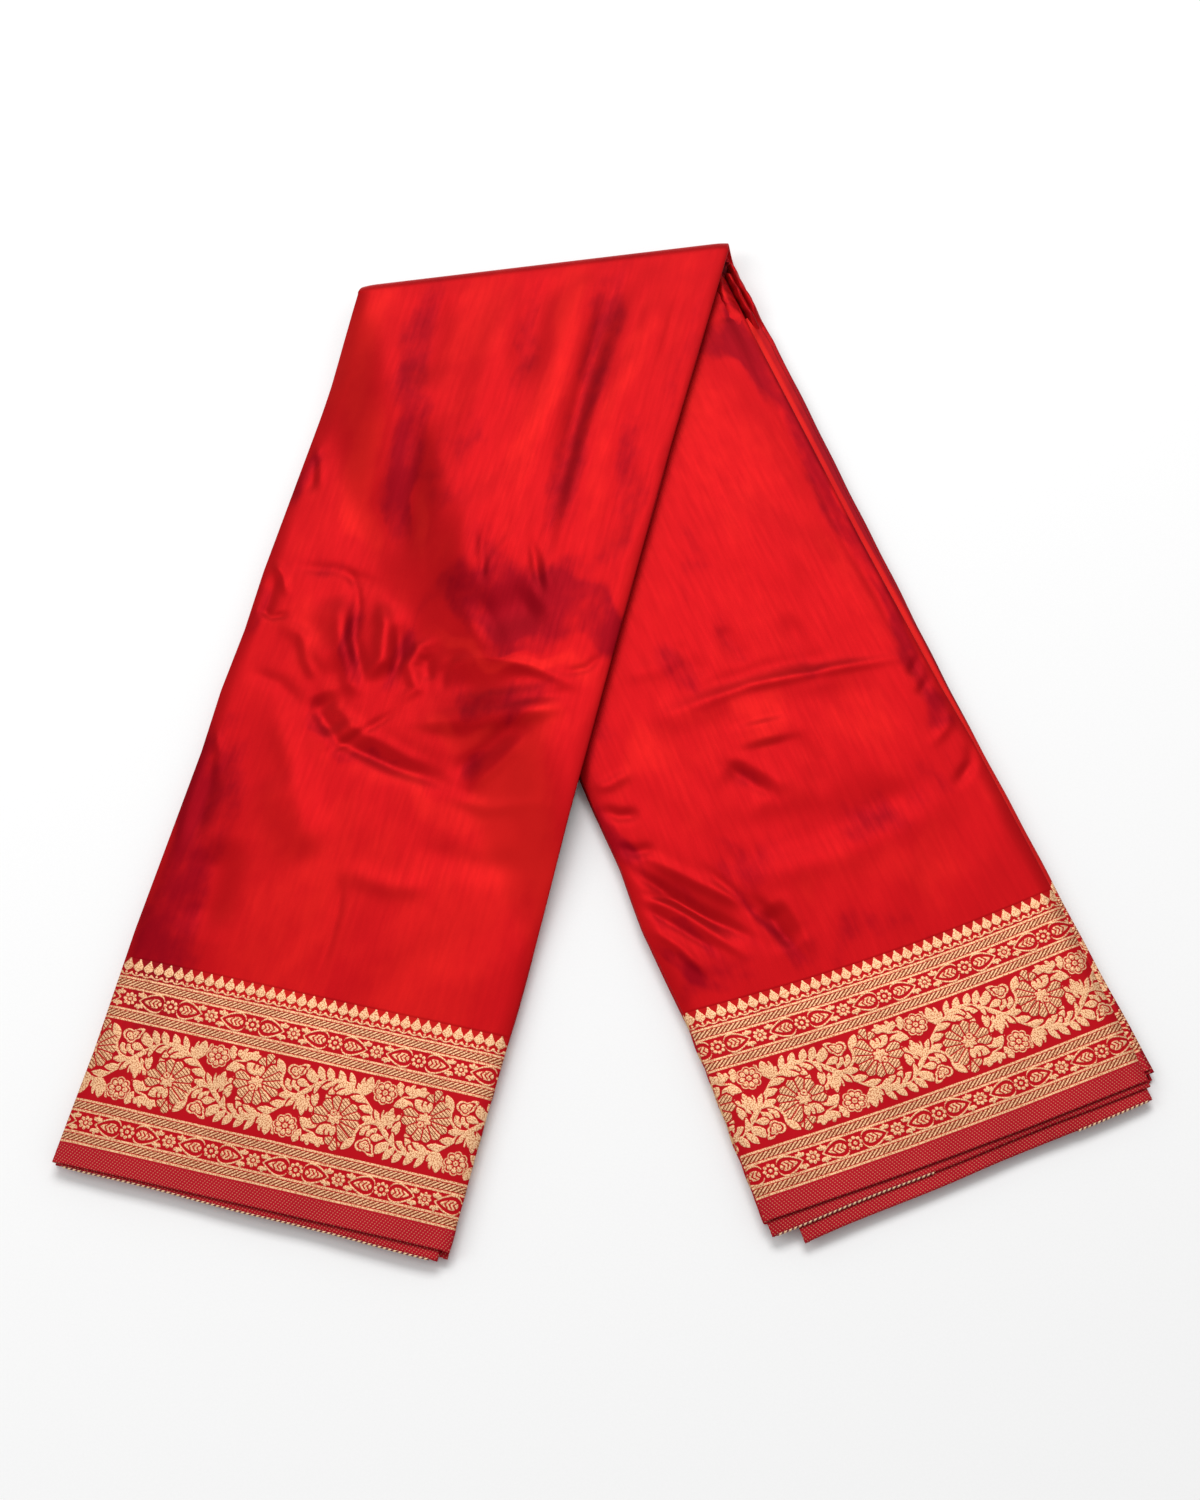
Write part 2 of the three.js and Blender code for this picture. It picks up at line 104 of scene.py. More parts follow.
def along_line(u: Array, v: Array, line: Sequence[Place]) -> tuple[Array, Array]:
    """Where places lie beside a line of straight stretches.

    Args:
        u: Places across.
        v: Places down.
        line: The line's points.

    Returns:
        Each place's distance from the line, and its share of the way along it.
    """
    nearest = np.full(np.broadcast(u, v).shape, np.inf)
    reached = np.zeros(nearest.shape)
    for number, ((from_u, from_v), (to_u, to_v)) in enumerate(zip(line, line[1:])):
        run, fall = to_u - from_u, to_v - from_v
        share = np.clip(((u - from_u) * run + (v - from_v) * fall) / (run * run + fall * fall), 0.0, 1.0)
        distance = np.hypot(u - from_u - share * run, v - from_v - share * fall)
        reached = np.where(distance < nearest, (number + share) / (len(line) - 1), reached)
        nearest = np.minimum(nearest, distance)
    return nearest, reached


def end_fade(share: Array) -> Array:
    """How strong a line is at each share of the way along it: whole in the middle and nothing at its ends."""
    return smoothstep(share, 0.0, 0.32) * smoothstep(1.0 - share, 0.0, 0.32)


def grid_quads(rows: int, columns: int, first: int = 0) -> list[Array]:
    """The corners of the quads between a grid's points.

    Args:
        rows: How many rows of points there are.
        columns: How many points a row has.
        first: The number of the grid's first point.

    Returns:
        Each of the four corners' point numbers.
    """
    index = np.arange(rows * columns).reshape(rows, columns) + first
    return [index[:-1, :-1], index[1:, :-1], index[1:, 1:], index[:-1, 1:]]


class Ripple(NamedTuple):
    """A soft wave along a line or over a surface, its size and a sixth of its length in mm."""

    size: float
    length: float

    def at(self, place: Array, shift: Array | float = 0.0) -> Array:
        """How far the wave stands out at each place."""
        return self.size * np.sin(place / self.length + shift)


class EdgeStation(NamedTuple):
    """Where a leg's sheets end at one place down the leg."""

    v: float
    left: float
    right: float
    stack: float


class Crease(NamedTuple):
    """A soft ridge along a line on the cloth, or a trough where its rise is negative."""

    line: tuple[Place, ...]
    width: float
    rise: float


class PaintedShade(NamedTuple):
    """A stretch where the silk gets painted shade, or painted highlight where its depth is negative."""

    line: tuple[Place, ...]
    width: float
    depth: float


APEX = (12.66, 292.22)


@dataclass(frozen=True)
class Leg:
    """One of the two legs: its own frame runs from the apex, u across it and v down it."""

    name: str
    tilt: float
    edges: tuple[EdgeStation, ...]
    border_line: Callable[[Array], Array]
    hem_line: Callable[[Array], Array]
    creases: tuple[Crease, ...]
    # Streaks of painted shade on the silk, or of painted highlight where their depth is negative.
    painted_shades: tuple[PaintedShade, ...]
    ledge: float

    def place(self, u: Array | float, v: Array | float) -> tuple[Array, Array]:
        """The x and y of places on the leg."""
        cos, sin = math.cos(self.tilt), math.sin(self.tilt)
        return APEX[0] + u * cos + v * sin, APEX[1] + u * sin - v * cos

    def locate(self, x: Array | float, y: Array | float) -> tuple[Array, Array]:
        """The u and v of points on the floor plan."""
        cos, sin = math.cos(self.tilt), math.sin(self.tilt)
        return (x - APEX[0]) * cos + (y - APEX[1]) * sin, (x - APEX[0]) * sin - (y - APEX[1]) * cos

    def edge(self, side: Side, v: Array | float) -> Array:
        """Where the leg's sheets end on that side at v."""
        return np.interp(v, [e.v for e in self.edges], [getattr(e, side.value) for e in self.edges])

    def across(self, share: Array | float, v: Array | float) -> Array:
        """The u a share of the way across the top sheet at v."""
        return lerp(self.edge(Side.LEFT, v), self.edge(Side.RIGHT, v), share)

    def crease_height(self, u: Array, v: Array) -> Array:
        """How high the creases stand together, each dying away towards its ends, over a slight unevenness.

        Args:
            u: Places across the leg.
            v: Places down it.

        Returns:
            The height at each place, below 0 in a trough.
        """
        fine = Ripple(0.16, 6.1).at(u, Ripple(1.7, 23.0).at(v))
        broad = Ripple(0.22, 13.0).at(u, Ripple(2.1, 61.0).at(v))
        total = fine * Ripple(1.0, 15.0).at(v, Ripple(1.3, 19.0).at(u))
        total = total + broad * Ripple(1.0, 37.0).at(v, u / 43.0)
        for crease in self.creases:
            distance, share = along_line(u, v, crease.line)
            total = total + crease.rise * end_fade(share) * np.exp(-((distance / crease.width) ** 2))
        return total

    def tone(self, u: Array, v: Array) -> Array:
        """How much painted shade darkens the silk, or painted highlight brightens it where below 0.

        Args:
            u: Places across the leg.
            v: Places down it.

        Returns:
            From -1 where the painted highlight is strongest to 1 where the painted shade is darkest.
        """
        wander_u = u + Ripple(3.0, 19.0).at(v, u / 29.0) + Ripple(1.1, 7.3).at(v, u / 9.0)
        wander_v = v + Ripple(6.0, 11.0).at(u, 1.0) + Ripple(3.0, 4.3).at(u, v / 31.0)
        total = np.zeros(wander_u.shape)
        for tone in self.painted_shades:
            distance, share = along_line(wander_u, wander_v, tone.line)
            total = total + tone.depth * end_fade(share) * np.exp(-((distance / tone.width) ** 4))
        return np.clip(total, -1.0, 1.0)


LEFT_LEG = Leg(
    name="left",
    tilt=math.radians(-18.545),
    edges=(
        EdgeStation(v=-35, left=-99.6, right=101.4, stack=100.2),
        EdgeStation(v=40, left=-99.4, right=100.4, stack=99.4),
        EdgeStation(v=110, left=-97.8, right=99.2, stack=98.4),
        EdgeStation(v=235, left=-98.9, right=98.8, stack=97.9),
        EdgeStation(v=272, left=-97.8, right=98.8, stack=97.9),
        EdgeStation(v=310, left=-98.7, right=98.9, stack=98.0),
        EdgeStation(v=347, left=-97.4, right=98.8, stack=97.9),
        EdgeStation(v=450, left=-98.4, right=98.6, stack=97.7),
        EdgeStation(v=515, left=-97.2, right=97.5, stack=96.6),
        EdgeStation(v=573, left=-98.1, right=97.6, stack=96.7),
    ),
    border_line=lambda u: 465.0 + 0.0 * u,
    hem_line=lambda u: 572.4 + 0.0 * u,
    ledge=0.0,
    creases=tuple(Crease(line, width, rise) for line, width, rise in (
        (((46, -16), (44, 180)), 11, -1.7),
        (((60, -20), (66, 140)), 12, 1.2),
        (((29, -5), (28, 150)), 11, 1.1),
        (((3, 4), (8, 100)), 10, -1.4),
        (((-16, 14), (-6, 190)), 11, 1.1),
        (((-56, 36), (-44, 110)), 12, -1.5),
        (((-44, 110), (-22, 222)), 10, -1.9),
        (((-80, 60), (-56, 205)), 14, 1.3),
        (((22, 250), (56, 224)), 15, -2.5),
        (((2, 150), (10, 238)), 12, 1.3),
        (((2, 304), (84, 286)), 9, 1.9),
        (((12, 285), (80, 270)), 9, -1.4),
        (((-47, 300), (-30, 323)), 9, -1.8),
        (((-30, 323), (40, 337)), 9, -1.7),
        (((-58, 240), (-42, 290)), 10, 1.5),
        (((-26, 238), (-20, 290)), 9, 1.5),
        (((-60, 350), (-20, 395)), 15, 1.3),
        (((-70, 390), (-66, 450)), 12, -1.5),
        (((82, 122), (82, 195)), 10, -1.2),
        (((41, -16), (43, 90), (48, 195), (46, 234)), 4.5, -0.7),
        (((52, 10), (53, 130), (58, 206)), 4.0, 0.5),
        (((12, 188), (17, 208), (23, 226)), 2.6, -0.7),
        (((29, 186), (24, 206), (22, 226)), 2.8, 0.5),
        (((38, 186), (46, 206), (57, 230)), 2.6, -0.8),
        (((44, 186), (52, 206), (62, 226)), 3.0, 0.5),
        (((-53, 236), (-47, 262), (-33, 292), (-24, 300)), 4.4, 1.0),
        (((-45, 238), (-39, 266), (-26, 290)), 3.4, -1.0),
        (((-34, 232), (-24, 256), (-20, 276), (-27, 292)), 4.0, 1.1),
        (((-18, 248), (-12, 272), (-13, 292)), 3.2, -0.9),
        (((8, 256), (-3, 264), (-5, 276), (2, 288), (-8, 302)), 3.6, 1.1),
        (((2, 266), (4, 274), (8, 284)), 3.4, -0.7),
        (((-50, 294), (-45, 312), (-30, 326), (4, 335), (46, 341)), 3.6, -1.0),
        (((-42, 292), (-36, 308), (-22, 318), (10, 328), (40, 333)), 4.2, 0.9),
        (((-2, 300), (-18, 318), (-38, 340)), 2.4, -0.6),
        (((-2, 309), (27, 305), (57, 299), (92, 282)), 4.0, 0.9),
        (((8, 298), (50, 291), (90, 275)), 3.6, -0.7),
        (((4, 273), (30, 267), (60, 267), (94, 276)), 3.4, 0.8),
        (((60, 300), (47, 316), (32, 336)), 5.0, -1.0),
        (((68, 304), (56, 324), (42, 342)), 4.2, 0.7),
        (((-6, 396), (-2, 420), (-1, 458)), 2.4, -0.45),
        (((63, 6), (62, 74)), 4.0, -0.5),
        (((82, 2), (83, 76)), 4.6, -0.7),
        (((-90, 336), (-85, 404)), 5.0, -0.9),
        (((-93, 232), (-90, 266)), 4.0, -0.9),
        (((-92, 150), (-90, 184)), 4.0, -0.8),
        (((-72, 306), (-44, 352), (-20, 398)), 7.0, 0.8),
        (((-97, 148), (-90, 160), (-84, 180)), 2.4, 0.6),
        (((-98, 226), (-88, 236), (-80, 250)), 2.4, 0.7),
        (((-97, 256), (-86, 262), (-76, 258)), 2.2, -0.6),
        (((-97, 330), (-88, 346), (-84, 366)), 2.6, 0.6),
        (((-56, 222), (-46, 236), (-40, 252)), 2.4, -0.6),
        (((-70, 262), (-60, 284), (-50, 296)), 2.8, 0.6),
        (((18, 262), (14, 276), (16, 290)), 3.0, -0.5),
        (((30, 344), (56, 348), (90, 340)), 4.0, 0.5),
        (((96, 250), (88, 262), (76, 268)), 2.6, -0.6),
        (((-88, 230), (-60, 226), (-30, 232)), 4.0, -0.6),
        (((-84, 262), (-62, 272), (-46, 292)), 5.0, 0.7),
        (((-90, 296), (-70, 300), (-52, 312)), 4.5, -0.6),
        (((20, 376), (60, 380), (92, 372)), 8.0, -0.6),
        (((-12, 396), (20, 400), (44, 396)), 6.0, 0.6),
    )),
    # The left leg's streaks of painted shade, and painted highlight where the depth is negative.
    painted_shades=tuple(PaintedShade(line, width, depth) for line, width, depth in (
        (((-4, -14), (2, 50), (7, 122)), 8, 0.5),
        (((40, -40), (44, 40), (48, 120), (50, 220)), 10, 0.8),
        (((-58, 10), (-55, 80), (-40, 150), (-24, 240)), 11, 0.75),
        (((-66, 80), (-52, 150), (-40, 200)), 9, 0.35),
        (((-20, 100), (-8, 200)), 15, 0.5),
        (((0, 180), (26, 218), (40, 240)), 12, 0.5),
        (((-30, 232), (50, 232), (130, 240)), 15, 0.95),
        (((10, 210), (46, 214), (86, 210)), 13, 0.6),
        (((20, 222), (66, 226), (112, 236)), 14, 0.9),
        (((76, 96), (82, 160), (86, 244)), 11, 0.55),
        (((4, 250), (50, 253), (108, 248)), 9, 0.6),
        (((-2, 286), (50, 286), (100, 280)), 11, 0.6),
        (((-52, 288), (-42, 320), (-8, 336), (60, 344)), 5, 0.7),
        (((64, 294), (50, 312), (34, 338)), 9, 0.9),
        (((-50, 232), (-38, 268), (-24, 304)), 6, 0.7),
        (((-12, 240), (-8, 272), (-10, 304)), 6, 0.6),
        (((-96, 290), (-84, 390), (-74, 560)), 17, 0.75),
        (((-100, 320), (-94, 412)), 6, 0.5),
        (((-96, 140), (-96, 196)), 5, 0.7),
        (((-97, 224), (-96, 276)), 5, 0.7),
        (((-98, 230), (-52, 226)), 8, 0.4),
        (((92, -30), (94, 60), (94, 200)), 6, 0.4),
        (((50, 290), (76, 350), (84, 420)), 18, -0.9),
        (((-92, 20), (-84, 150)), 13, -0.6),
        (((24, -20), (24, 180)), 7, -0.6),
        (((-18, -4), (-14, 90)), 8, -0.4),
        (((64, 20), (66, 190)), 7, -0.4),
        (((-30, 0), (-30, 90)), 9, -0.5),
        (((-26, 150), (-20, 214)), 4, -0.8),
        (((-80, 100), (-60, 190), (-36, 214)), 10, -0.8),
        (((-86, 250), (-60, 270), (-56, 310)), 11, -0.4),
        (((-6, 260), (40, 262), (96, 270)), 4, -0.7),
        (((-10, 316), (50, 306), (96, 292)), 6, -0.6),
        (((-40, 330), (40, 352), (96, 336)), 9, -0.5),
        (((-34, 340), (-24, 420), (-20, 560)), 26, -0.5),
        (((30, 350), (50, 420), (60, 560)), 34, -0.5),
    )),
)

RIGHT_LEG = Leg(
    name="right",
    tilt=math.radians(15.622),
    edges=(
        EdgeStation(v=0, left=-97.8, right=91.0, stack=98.8),
        EdgeStation(v=90, left=-97.8, right=90.4, stack=98.8),
        EdgeStation(v=240, left=-97.8, right=91.2, stack=98.4),
        EdgeStation(v=340, left=-98.0, right=93.4, stack=97.6),
        EdgeStation(v=375, left=-96.8, right=95.3, stack=97.8),
        EdgeStation(v=410, left=-98.6, right=95.8, stack=98.0),
        EdgeStation(v=465, left=-95.9, right=96.4, stack=98.4),
        EdgeStation(v=515, left=-97.1, right=95.6, stack=98.8),
        EdgeStation(v=572, left=-98.9, right=95.2, stack=99.0),
    ),
    border_line=lambda u: 467.0 - 0.00045 * (u - 35.0) ** 2,
    hem_line=lambda u: 571.5 - 0.00018 * (u - 35.0) ** 2,
    ledge=9.0,
    creases=tuple(Crease(line, width, rise) for line, width, rise in (
        (((-58, 306), (0, 304)), 9, 0.9),
        (((0, 304), (70, 318)), 9, 0.8),
        (((0, 322), (-2, 340)), 12, 1.0),
        (((-28, 342), (-12, 367)), 10, -0.9),
        (((-89, 383), (-52, 435)), 11, -1.2),
        (((-38, 421), (-34, 448)), 8, -1.2),
        (((-60, 376), (70, 392)), 13, -1.0),
        (((34, 268), (38, 318)), 10, -0.6),
        (((80, 84), (82, 290)), 9, -0.9),
        (((20, 190), (60, 260)), 18, 0.9),
        (((-62, 304), (2, 303), (27, 307), (57, 312), (96, 320)), 3.2, 0.8),
        (((-40, 296), (10, 295), (56, 303)), 4.4, -0.45),
        (((-30, 336), (-20, 352), (-6, 374)), 3.6, -0.6),
        (((-24, 334), (-12, 350), (0, 368)), 3.8, 0.45),
        (((-97, 372), (-74, 406), (-44, 444)), 3.0, -1.1),
        (((-96, 388), (-76, 412), (-54, 448)), 2.6, 0.8),
        (((-97, 396), (-84, 414), (-66, 440)), 2.4, -0.8),
        (((-97, 410), (-86, 426), (-76, 448)), 2.6, 0.7),
        (((-90, 366), (-64, 398), (-40, 424)), 3.2, 0.7),
        (((-44, 410), (-37, 430), (-32, 458)), 3.0, -0.8),
        (((-30, 414), (-26, 436), (-26, 458)), 3.0, 0.4),
        (((-98, 340), (-88, 348), (-76, 352)), 3.6, -1.0),
        (((-98, 362), (-88, 370), (-76, 372)), 3.4, -0.8),
        (((-97, 328), (-86, 330), (-70, 326)), 3.4, 0.7),
        (((97, 372), (90, 386), (74, 398)), 3.0, -0.8),
        (((97, 350), (88, 362), (72, 372)), 3.0, 0.5),
        (((93, 318), (80, 330)), 2.6, -0.6),
        (((94, 330), (79, 343)), 2.6, -0.6),
        (((87, -100), (86, 160), (87, 380)), 4.0, -0.9),
        (((70, 55), (80, 51), (93, 49)), 2.0, 0.7),
        (((68, 63), (80, 58), (93, 57)), 2.2, -0.6),
        (((66, 70), (78, 66), (92, 66)), 2.0, 0.6),
        (((62, 80), (76, 75), (90, 76)), 2.4, -0.5),
        (((-97, 390), (-78, 402), (-60, 428)), 2.2, -0.7),
        (((-60, 386), (-50, 410), (-38, 436)), 2.6, -0.6),
        (((-24, 262), (-18, 292)), 5.0, -0.6),
        (((0, 262), (6, 292)), 5.0, -0.6),
        (((35, 262), (38, 320)), 4.4, -0.35),
        (((-70, 392), (0, 396), (80, 388)), 8.0, -0.55),
        (((-60, 404), (10, 410), (84, 400)), 9.0, 0.45),
        (((10, 330), (16, 356), (12, 380)), 5.0, -0.5),
        (((-70, 268), (-40, 276), (-10, 270)), 6.0, 0.5),
    )),
    # The right leg's streaks of painted shade, and painted highlight where the depth is negative.
    painted_shades=tuple(PaintedShade(line, width, depth) for line, width, depth in (
        (((87, -140), (88, 130), (89, 400)), 5, 0.8),
        (((83, 10), (85, 120), (86, 250), (87, 400)), 7, 0.65),
        (((40, 76), (66, 88), (88, 112), (92, 140)), 9, 0.7),
        (((-98, 240), (-92, 290), (-96, 350)), 9, 0.5),
        (((-32, 246), (-24, 302)), 9, 0.5),
        (((-84, 270), (-76, 322)), 10, 0.5),
        (((2, 252), (6, 300)), 6, 0.35),
        (((34, 250), (36, 330)), 7, 0.2),
        (((-60, 298), (10, 299), (80, 309)), 3, 0.25),
        (((-34, 330), (-18, 354), (0, 388)), 4, 0.35),
        (((-98, 384), (0, 398), (98, 388)), 15, 0.4),
        (((-102, 364), (-72, 408), (-42, 456)), 3.5, 0.5),
        (((-102, 384), (-84, 412), (-60, 450)), 3, 0.45),
        (((-102, 404), (-86, 430), (-72, 462)), 3, 0.6),
        (((-98, 432), (-70, 452), (-40, 462)), 8, 0.35),
        (((-42, 404), (-33, 464)), 4, 0.6),
        (((-54, 384), (-48, 412), (-36, 440)), 3, 0.4),
        (((-100, 326), (-90, 380)), 6, 0.8),
        (((-100, 436), (0, 452), (98, 462)), 10, 0.3),
        (((96, 340), (82, 372)), 6, 0.5),
        (((-20, 200), (10, 252)), 20, 0.3),
        (((-2, 306), (-2, 346)), 14, -0.6),
        (((-70, 312), (-50, 336)), 16, -0.5),
        (((30, 320), (70, 352)), 16, -0.3),
        (((40, 60), (50, 240)), 22, -0.3),
        (((0, 418), (60, 424)), 14, -0.3),
    )),
)


@dataclass(frozen=True)
class FoldedStack:
    """How the pleated stack is folded over, in mm: the left leg lies on the right one near the fold."""

    half_width: float = 97.8
    leg_height: float = 8.7
    sheet: float = 1.2
    gap: float = 0.3
    inner_bend: float = 1.65
    axis_drop: float = 11.5
    axis_angle: float = math.radians(1.6)
    bridge_start: float = 3.0
    bridge_end: float = 61.0
    turn_width: float = 8.0
    turn_drop: float = 1.0
    pressed_fade: float = 16.0
    pressed_past: float = 2.0
    pressed_slack: float = 0.6
    left: Leg = LEFT_LEG
    right: Leg = RIGHT_LEG

    @property
    def layers_height(self) -> float:
        """How high the layers below a top sheet lie."""
        return self.leg_height - self.sheet - self.gap

    @property
    def fold_centre(self) -> float:
        """The height of the line that the stack is bent round."""
        return self.leg_height + self.gap / 2

    def crossing(self, leg: Leg, u: Array | float) -> tuple[Array, Array]:
        """Where a leg's lines meet the fold's axis.

        Args:
            leg: The leg.
            u: The lines' places across it.

        Returns:
            How far down the leg that is, and how far along the axis.
        """
        cos, sin = math.cos(self.axis_angle), math.sin(self.axis_angle)
        axis_x, axis_y = APEX[0], APEX[1] - self.axis_drop
        x, y = leg.place(u, 0.0)
        v = ((y - axis_y) * cos - (x - axis_x) * sin) / math.cos(leg.tilt - self.axis_angle)
        x, y = leg.place(u, v)
        return v, (x - axis_x) * cos + (y - axis_y) * sin

    def rest_height(self, leg: Leg, x: Array, y: Array) -> Array:
        """The height of what the leg lies on.

        Args:
            leg: The leg.
            x: Points of the floor plan.
            y: The same points' other measure.

        Returns:
            The surface's height, 0, or where the left leg bridges down from the right one, more.
        """
        if leg is self.right:
            return np.zeros(np.broadcast(x, y).shape)
        outside = -self.half_width - self.right.locate(x, y)[0]
        return (self.leg_height + self.gap) * (1.0 - smoothstep(outside, self.bridge_start, self.bridge_end))

    def edge_turn(self, leg: Leg, u: Array, v: Array) -> Array:
        """How far into its turned edge each place is, from 0 inside to 1 at the edge."""
        from_edge = np.minimum(u - leg.edge(Side.LEFT, v), leg.edge(Side.RIGHT, v) - u)
        return np.clip(1.0 - from_edge / self.turn_width, 0.0, 1.0)

    def relief(self, leg: Leg, u: Array, v: Array) -> Array:
        """How far the top sheet stands above or below its flat height.

        Args:
            leg: The leg.
            u: Places across it.
            v: Places down it.

        Returns:
            The creases' height where they show, less the turn at the edges.
        """
        shown = smoothstep(v - self.crossing(leg, u)[0], 0.0, self.pressed_fade)
        if leg is self.right:
            x, y = leg.place(u, v)
            from_left_leg = self.left.locate(x, y)[0] - self.half_width
            past = from_left_leg - self.pressed_past
            shown = shown * smoothstep(past, 0.0, self.pressed_fade)
        turn = self.edge_turn(leg, u, v)
        return shown * leg.crease_height(u, v) * (1.0 - turn) - self.turn_drop * turn * turn

    def point(self, leg: Leg, u: Array, v: Array, height: Array | float) -> Array:
        """Points of a layer at a height above what the leg lies on."""
        x, y = leg.place(u, v)
        return np.stack(np.broadcast_arrays(x, y, self.rest_height(leg, x, y) + height), axis=-1)

    def bend_point(self, u: Array, angle: Array, radius: Array | float) -> Array:
        """Points of the bend round the fold.

        Args:
            u: Their lines' places across the legs.
            angle: From 0 on the left leg's side, over the fold, to a half turn.
            radius: How far from the line that the stack is bent round.

        Returns:
            The points.
        """
        along = lerp(self.crossing(self.left, u)[1], self.crossing(self.right, u)[1], angle / math.pi)
        out = radius * np.sin(angle)
        cos, sin = math.cos(self.axis_angle), math.sin(self.axis_angle)
        x = APEX[0] + along * cos - out * sin
        y = APEX[1] - self.axis_drop + along * sin + out * cos
        return np.stack(np.broadcast_arrays(x, y, self.fold_centre + radius * np.cos(angle)), axis=-1)

    def station(self, leg: Leg, share: Array, down: Array) -> tuple[Array, Array]:
        """Places on the flat of a leg.

        Args:
            leg: The leg.
            share: How far across its top sheet, from 0 to 1.
            down: From 0 at the fold's axis to 1 at the border and 2 at the hem.

        Returns:
            Their u and v.
        """

        def line(u: Array) -> Array:
            """How far down the leg the row is at u."""
            axis, border, hem = self.crossing(leg, u)[0], leg.border_line(u), leg.hem_line(u)
            return np.where(down <= 1.0, lerp(axis, border, down), lerp(border, hem, down - 1.0))

        u = leg.across(share, line(lerp(-self.half_width, self.half_width, share)))
        return u, line(u)


STACK = FoldedStack()


@dataclass(frozen=True)
class RolledEdge:
    """How a sheet's folded edge rolls under, in mm."""

    radius: float = 0.5
    tuck: float = 3.0
    steps: int = 4

    def profile(self) -> tuple[Array, Array]:
        """The roll's lines from the sheet's edge to the end of the cloth tucked under it.

        Returns:
            How far out and how far down each line lies.
        """
        angle = np.linspace(0.0, math.pi, self.steps + 1)[1:]
        out = np.append(self.radius * np.sin(angle), -self.tuck)
        down = np.append(self.radius * (1.0 - np.cos(angle)), 2.0 * self.radius)
        return out, down

    def across(self, columns: int) -> tuple[Array, Array, Array]:
        """Lines across a sheet with both its edges rolled under.

        Args:
            columns: How many columns the flat has.

        Returns:
            Each line's share of the way across, how far out it is moved, and how far down.
        """
        out, down = self.profile()
        share = np.concatenate([np.zeros(out.size), np.linspace(0.0, 1.0, columns + 1), np.ones(out.size)])
        flat = np.zeros(columns + 1)
        return share, np.concatenate([-out[::-1], flat, out]), np.concatenate([down[::-1], flat, down])


class Patch(NamedTuple):
    """A grid of points with what is woven at each of them."""

    points: Array
    values: Mapping[str, Array]
    flipped: bool = False


CLOTH = "cloth"
GOLD = "gold"
SLASHED = "slashed"
# The attribute that keeps each point's painted shade, and painted highlight where it is below 0.
PAINTED_SHADE = "tone"
ROLL = "roll"


def build_piece(name: str, patches: Sequence[Patch], material: bpy.types.Material,
                stands_for: Sequence[str] = (), weld: float = 0.0) -> bpy.types.Object:
    """Makes one piece from grids of points, dresses it and rides it on the saree.

    Args:
        name: The piece's name.
        patches: Its grids, in mm; values of more than one number a point become vector attributes.
        material: Its finish.
        stands_for: The CAD nodes that it replaces.
        weld: How near points of two grids are joined, in mm.

    Returns:
        The piece.
    """
    points, faces, first = [], [], 0
    for patch in patches:
        rows, columns = patch.points.shape[:2]
        corners = grid_quads(rows, columns, first)
        quads = np.stack(corners[::-1] if patch.flipped else corners, axis=-1)
        points.append(patch.points.reshape(-1, 3) * MM)
        faces.append(quads.reshape(-1, 4))
        first += rows * columns
    mesh = bpy.data.meshes.new(name)
    mesh.from_pydata(np.concatenate(points).tolist(), [], np.concatenate(faces).tolist())
    for key in patches[0].values:
        parts = [np.asarray(patch.values[key], float) for patch in patches]
        vector = parts[0].ndim == 3
        kind = "FLOAT_VECTOR" if vector else "FLOAT"
        flat = np.concatenate([part.reshape(-1, 3) if vector else part.reshape(-1) for part in parts])
        attribute = mesh.attributes.new(key, kind, "POINT")
        attribute.data.foreach_set("vector" if vector else "value", flat.astype(np.float32).ravel())
    if weld > 0.0:
        edit = bmesh.new()
        edit.from_mesh(mesh)
        bmesh.ops.remove_doubles(edit, verts=edit.verts, dist=weld * MM)
        edit.to_mesh(mesh)
        edit.free()
    mesh.shade_smooth()
    mesh.materials.append(material)
    piece = bpy.data.objects.new(name, mesh)
    bpy.context.scene.collection.objects.link(piece)
    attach(piece, BODY)
    if stands_for:
        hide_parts(*stands_for)
    log.info("%s: %d faces", name, len(mesh.polygons))
    return piece


class Signal:
    """A number that varies over a surface: an output in a material's nodes, with Python's operators."""

    def __init__(self, graph: "FinishGraph", socket: bpy.types.NodeSocket) -> None:
        """Wraps a socket of the graph."""
        self.graph = graph
        self.socket = socket

    def math(self, operation: str, *others: "Signal | float", first: float | None = None) -> "Signal":
        """A Math node on this number and others.

        Args:
            operation: The node's operation.
            others: What follows this number.
            first: What comes before it, if anything.

        Returns:
            The result.
        """
        values = [self, *others] if first is None else [first, self, *others]
        node = self.graph.node("ShaderNodeMath", {"operation": operation}, dict(enumerate(values)))
        return Signal(self.graph, node.outputs[0])

    def __add__(self, other: "Signal | float") -> "Signal":
        """The sum."""
        return self.math("ADD", other)

    __radd__ = __add__

    def __sub__(self, other: "Signal | float") -> "Signal":
        """The difference."""
        return self.math("SUBTRACT", other)

    def __rsub__(self, other: float) -> "Signal":
        """The difference from a number."""
        return self.math("SUBTRACT", first=other)

    def __mul__(self, other: "Signal | float") -> "Signal":
        """The product."""
        return self.math("MULTIPLY", other)

    __rmul__ = __mul__

    def __truediv__(self, other: "Signal | float") -> "Signal":
        """The quotient."""
        return self.math("DIVIDE", other)

    def __rtruediv__(self, other: float) -> "Signal":
        """A number divided by this one."""
        return self.math("DIVIDE", first=other)

    def wave(self) -> "Signal":
        """A sine of whole turns, from 0 to 1."""
        return (self * (2.0 * math.pi)).math("SINE") * 0.5 + 0.5

    def step(self, low: float, high: float) -> "Signal":
        """A soft ramp, held beyond its ends.

        Args:
            low: Where it is 0.
            high: Where it is 1.

        Returns:
            The ramp's value.
        """
        settings = {"interpolation_type": "SMOOTHSTEP"}
        node = self.graph.node("ShaderNodeMapRange", settings, {0: self, 1: low, 2: high, 3: 0.0, 4: 1.0})
        return Signal(self.graph, node.outputs[0])


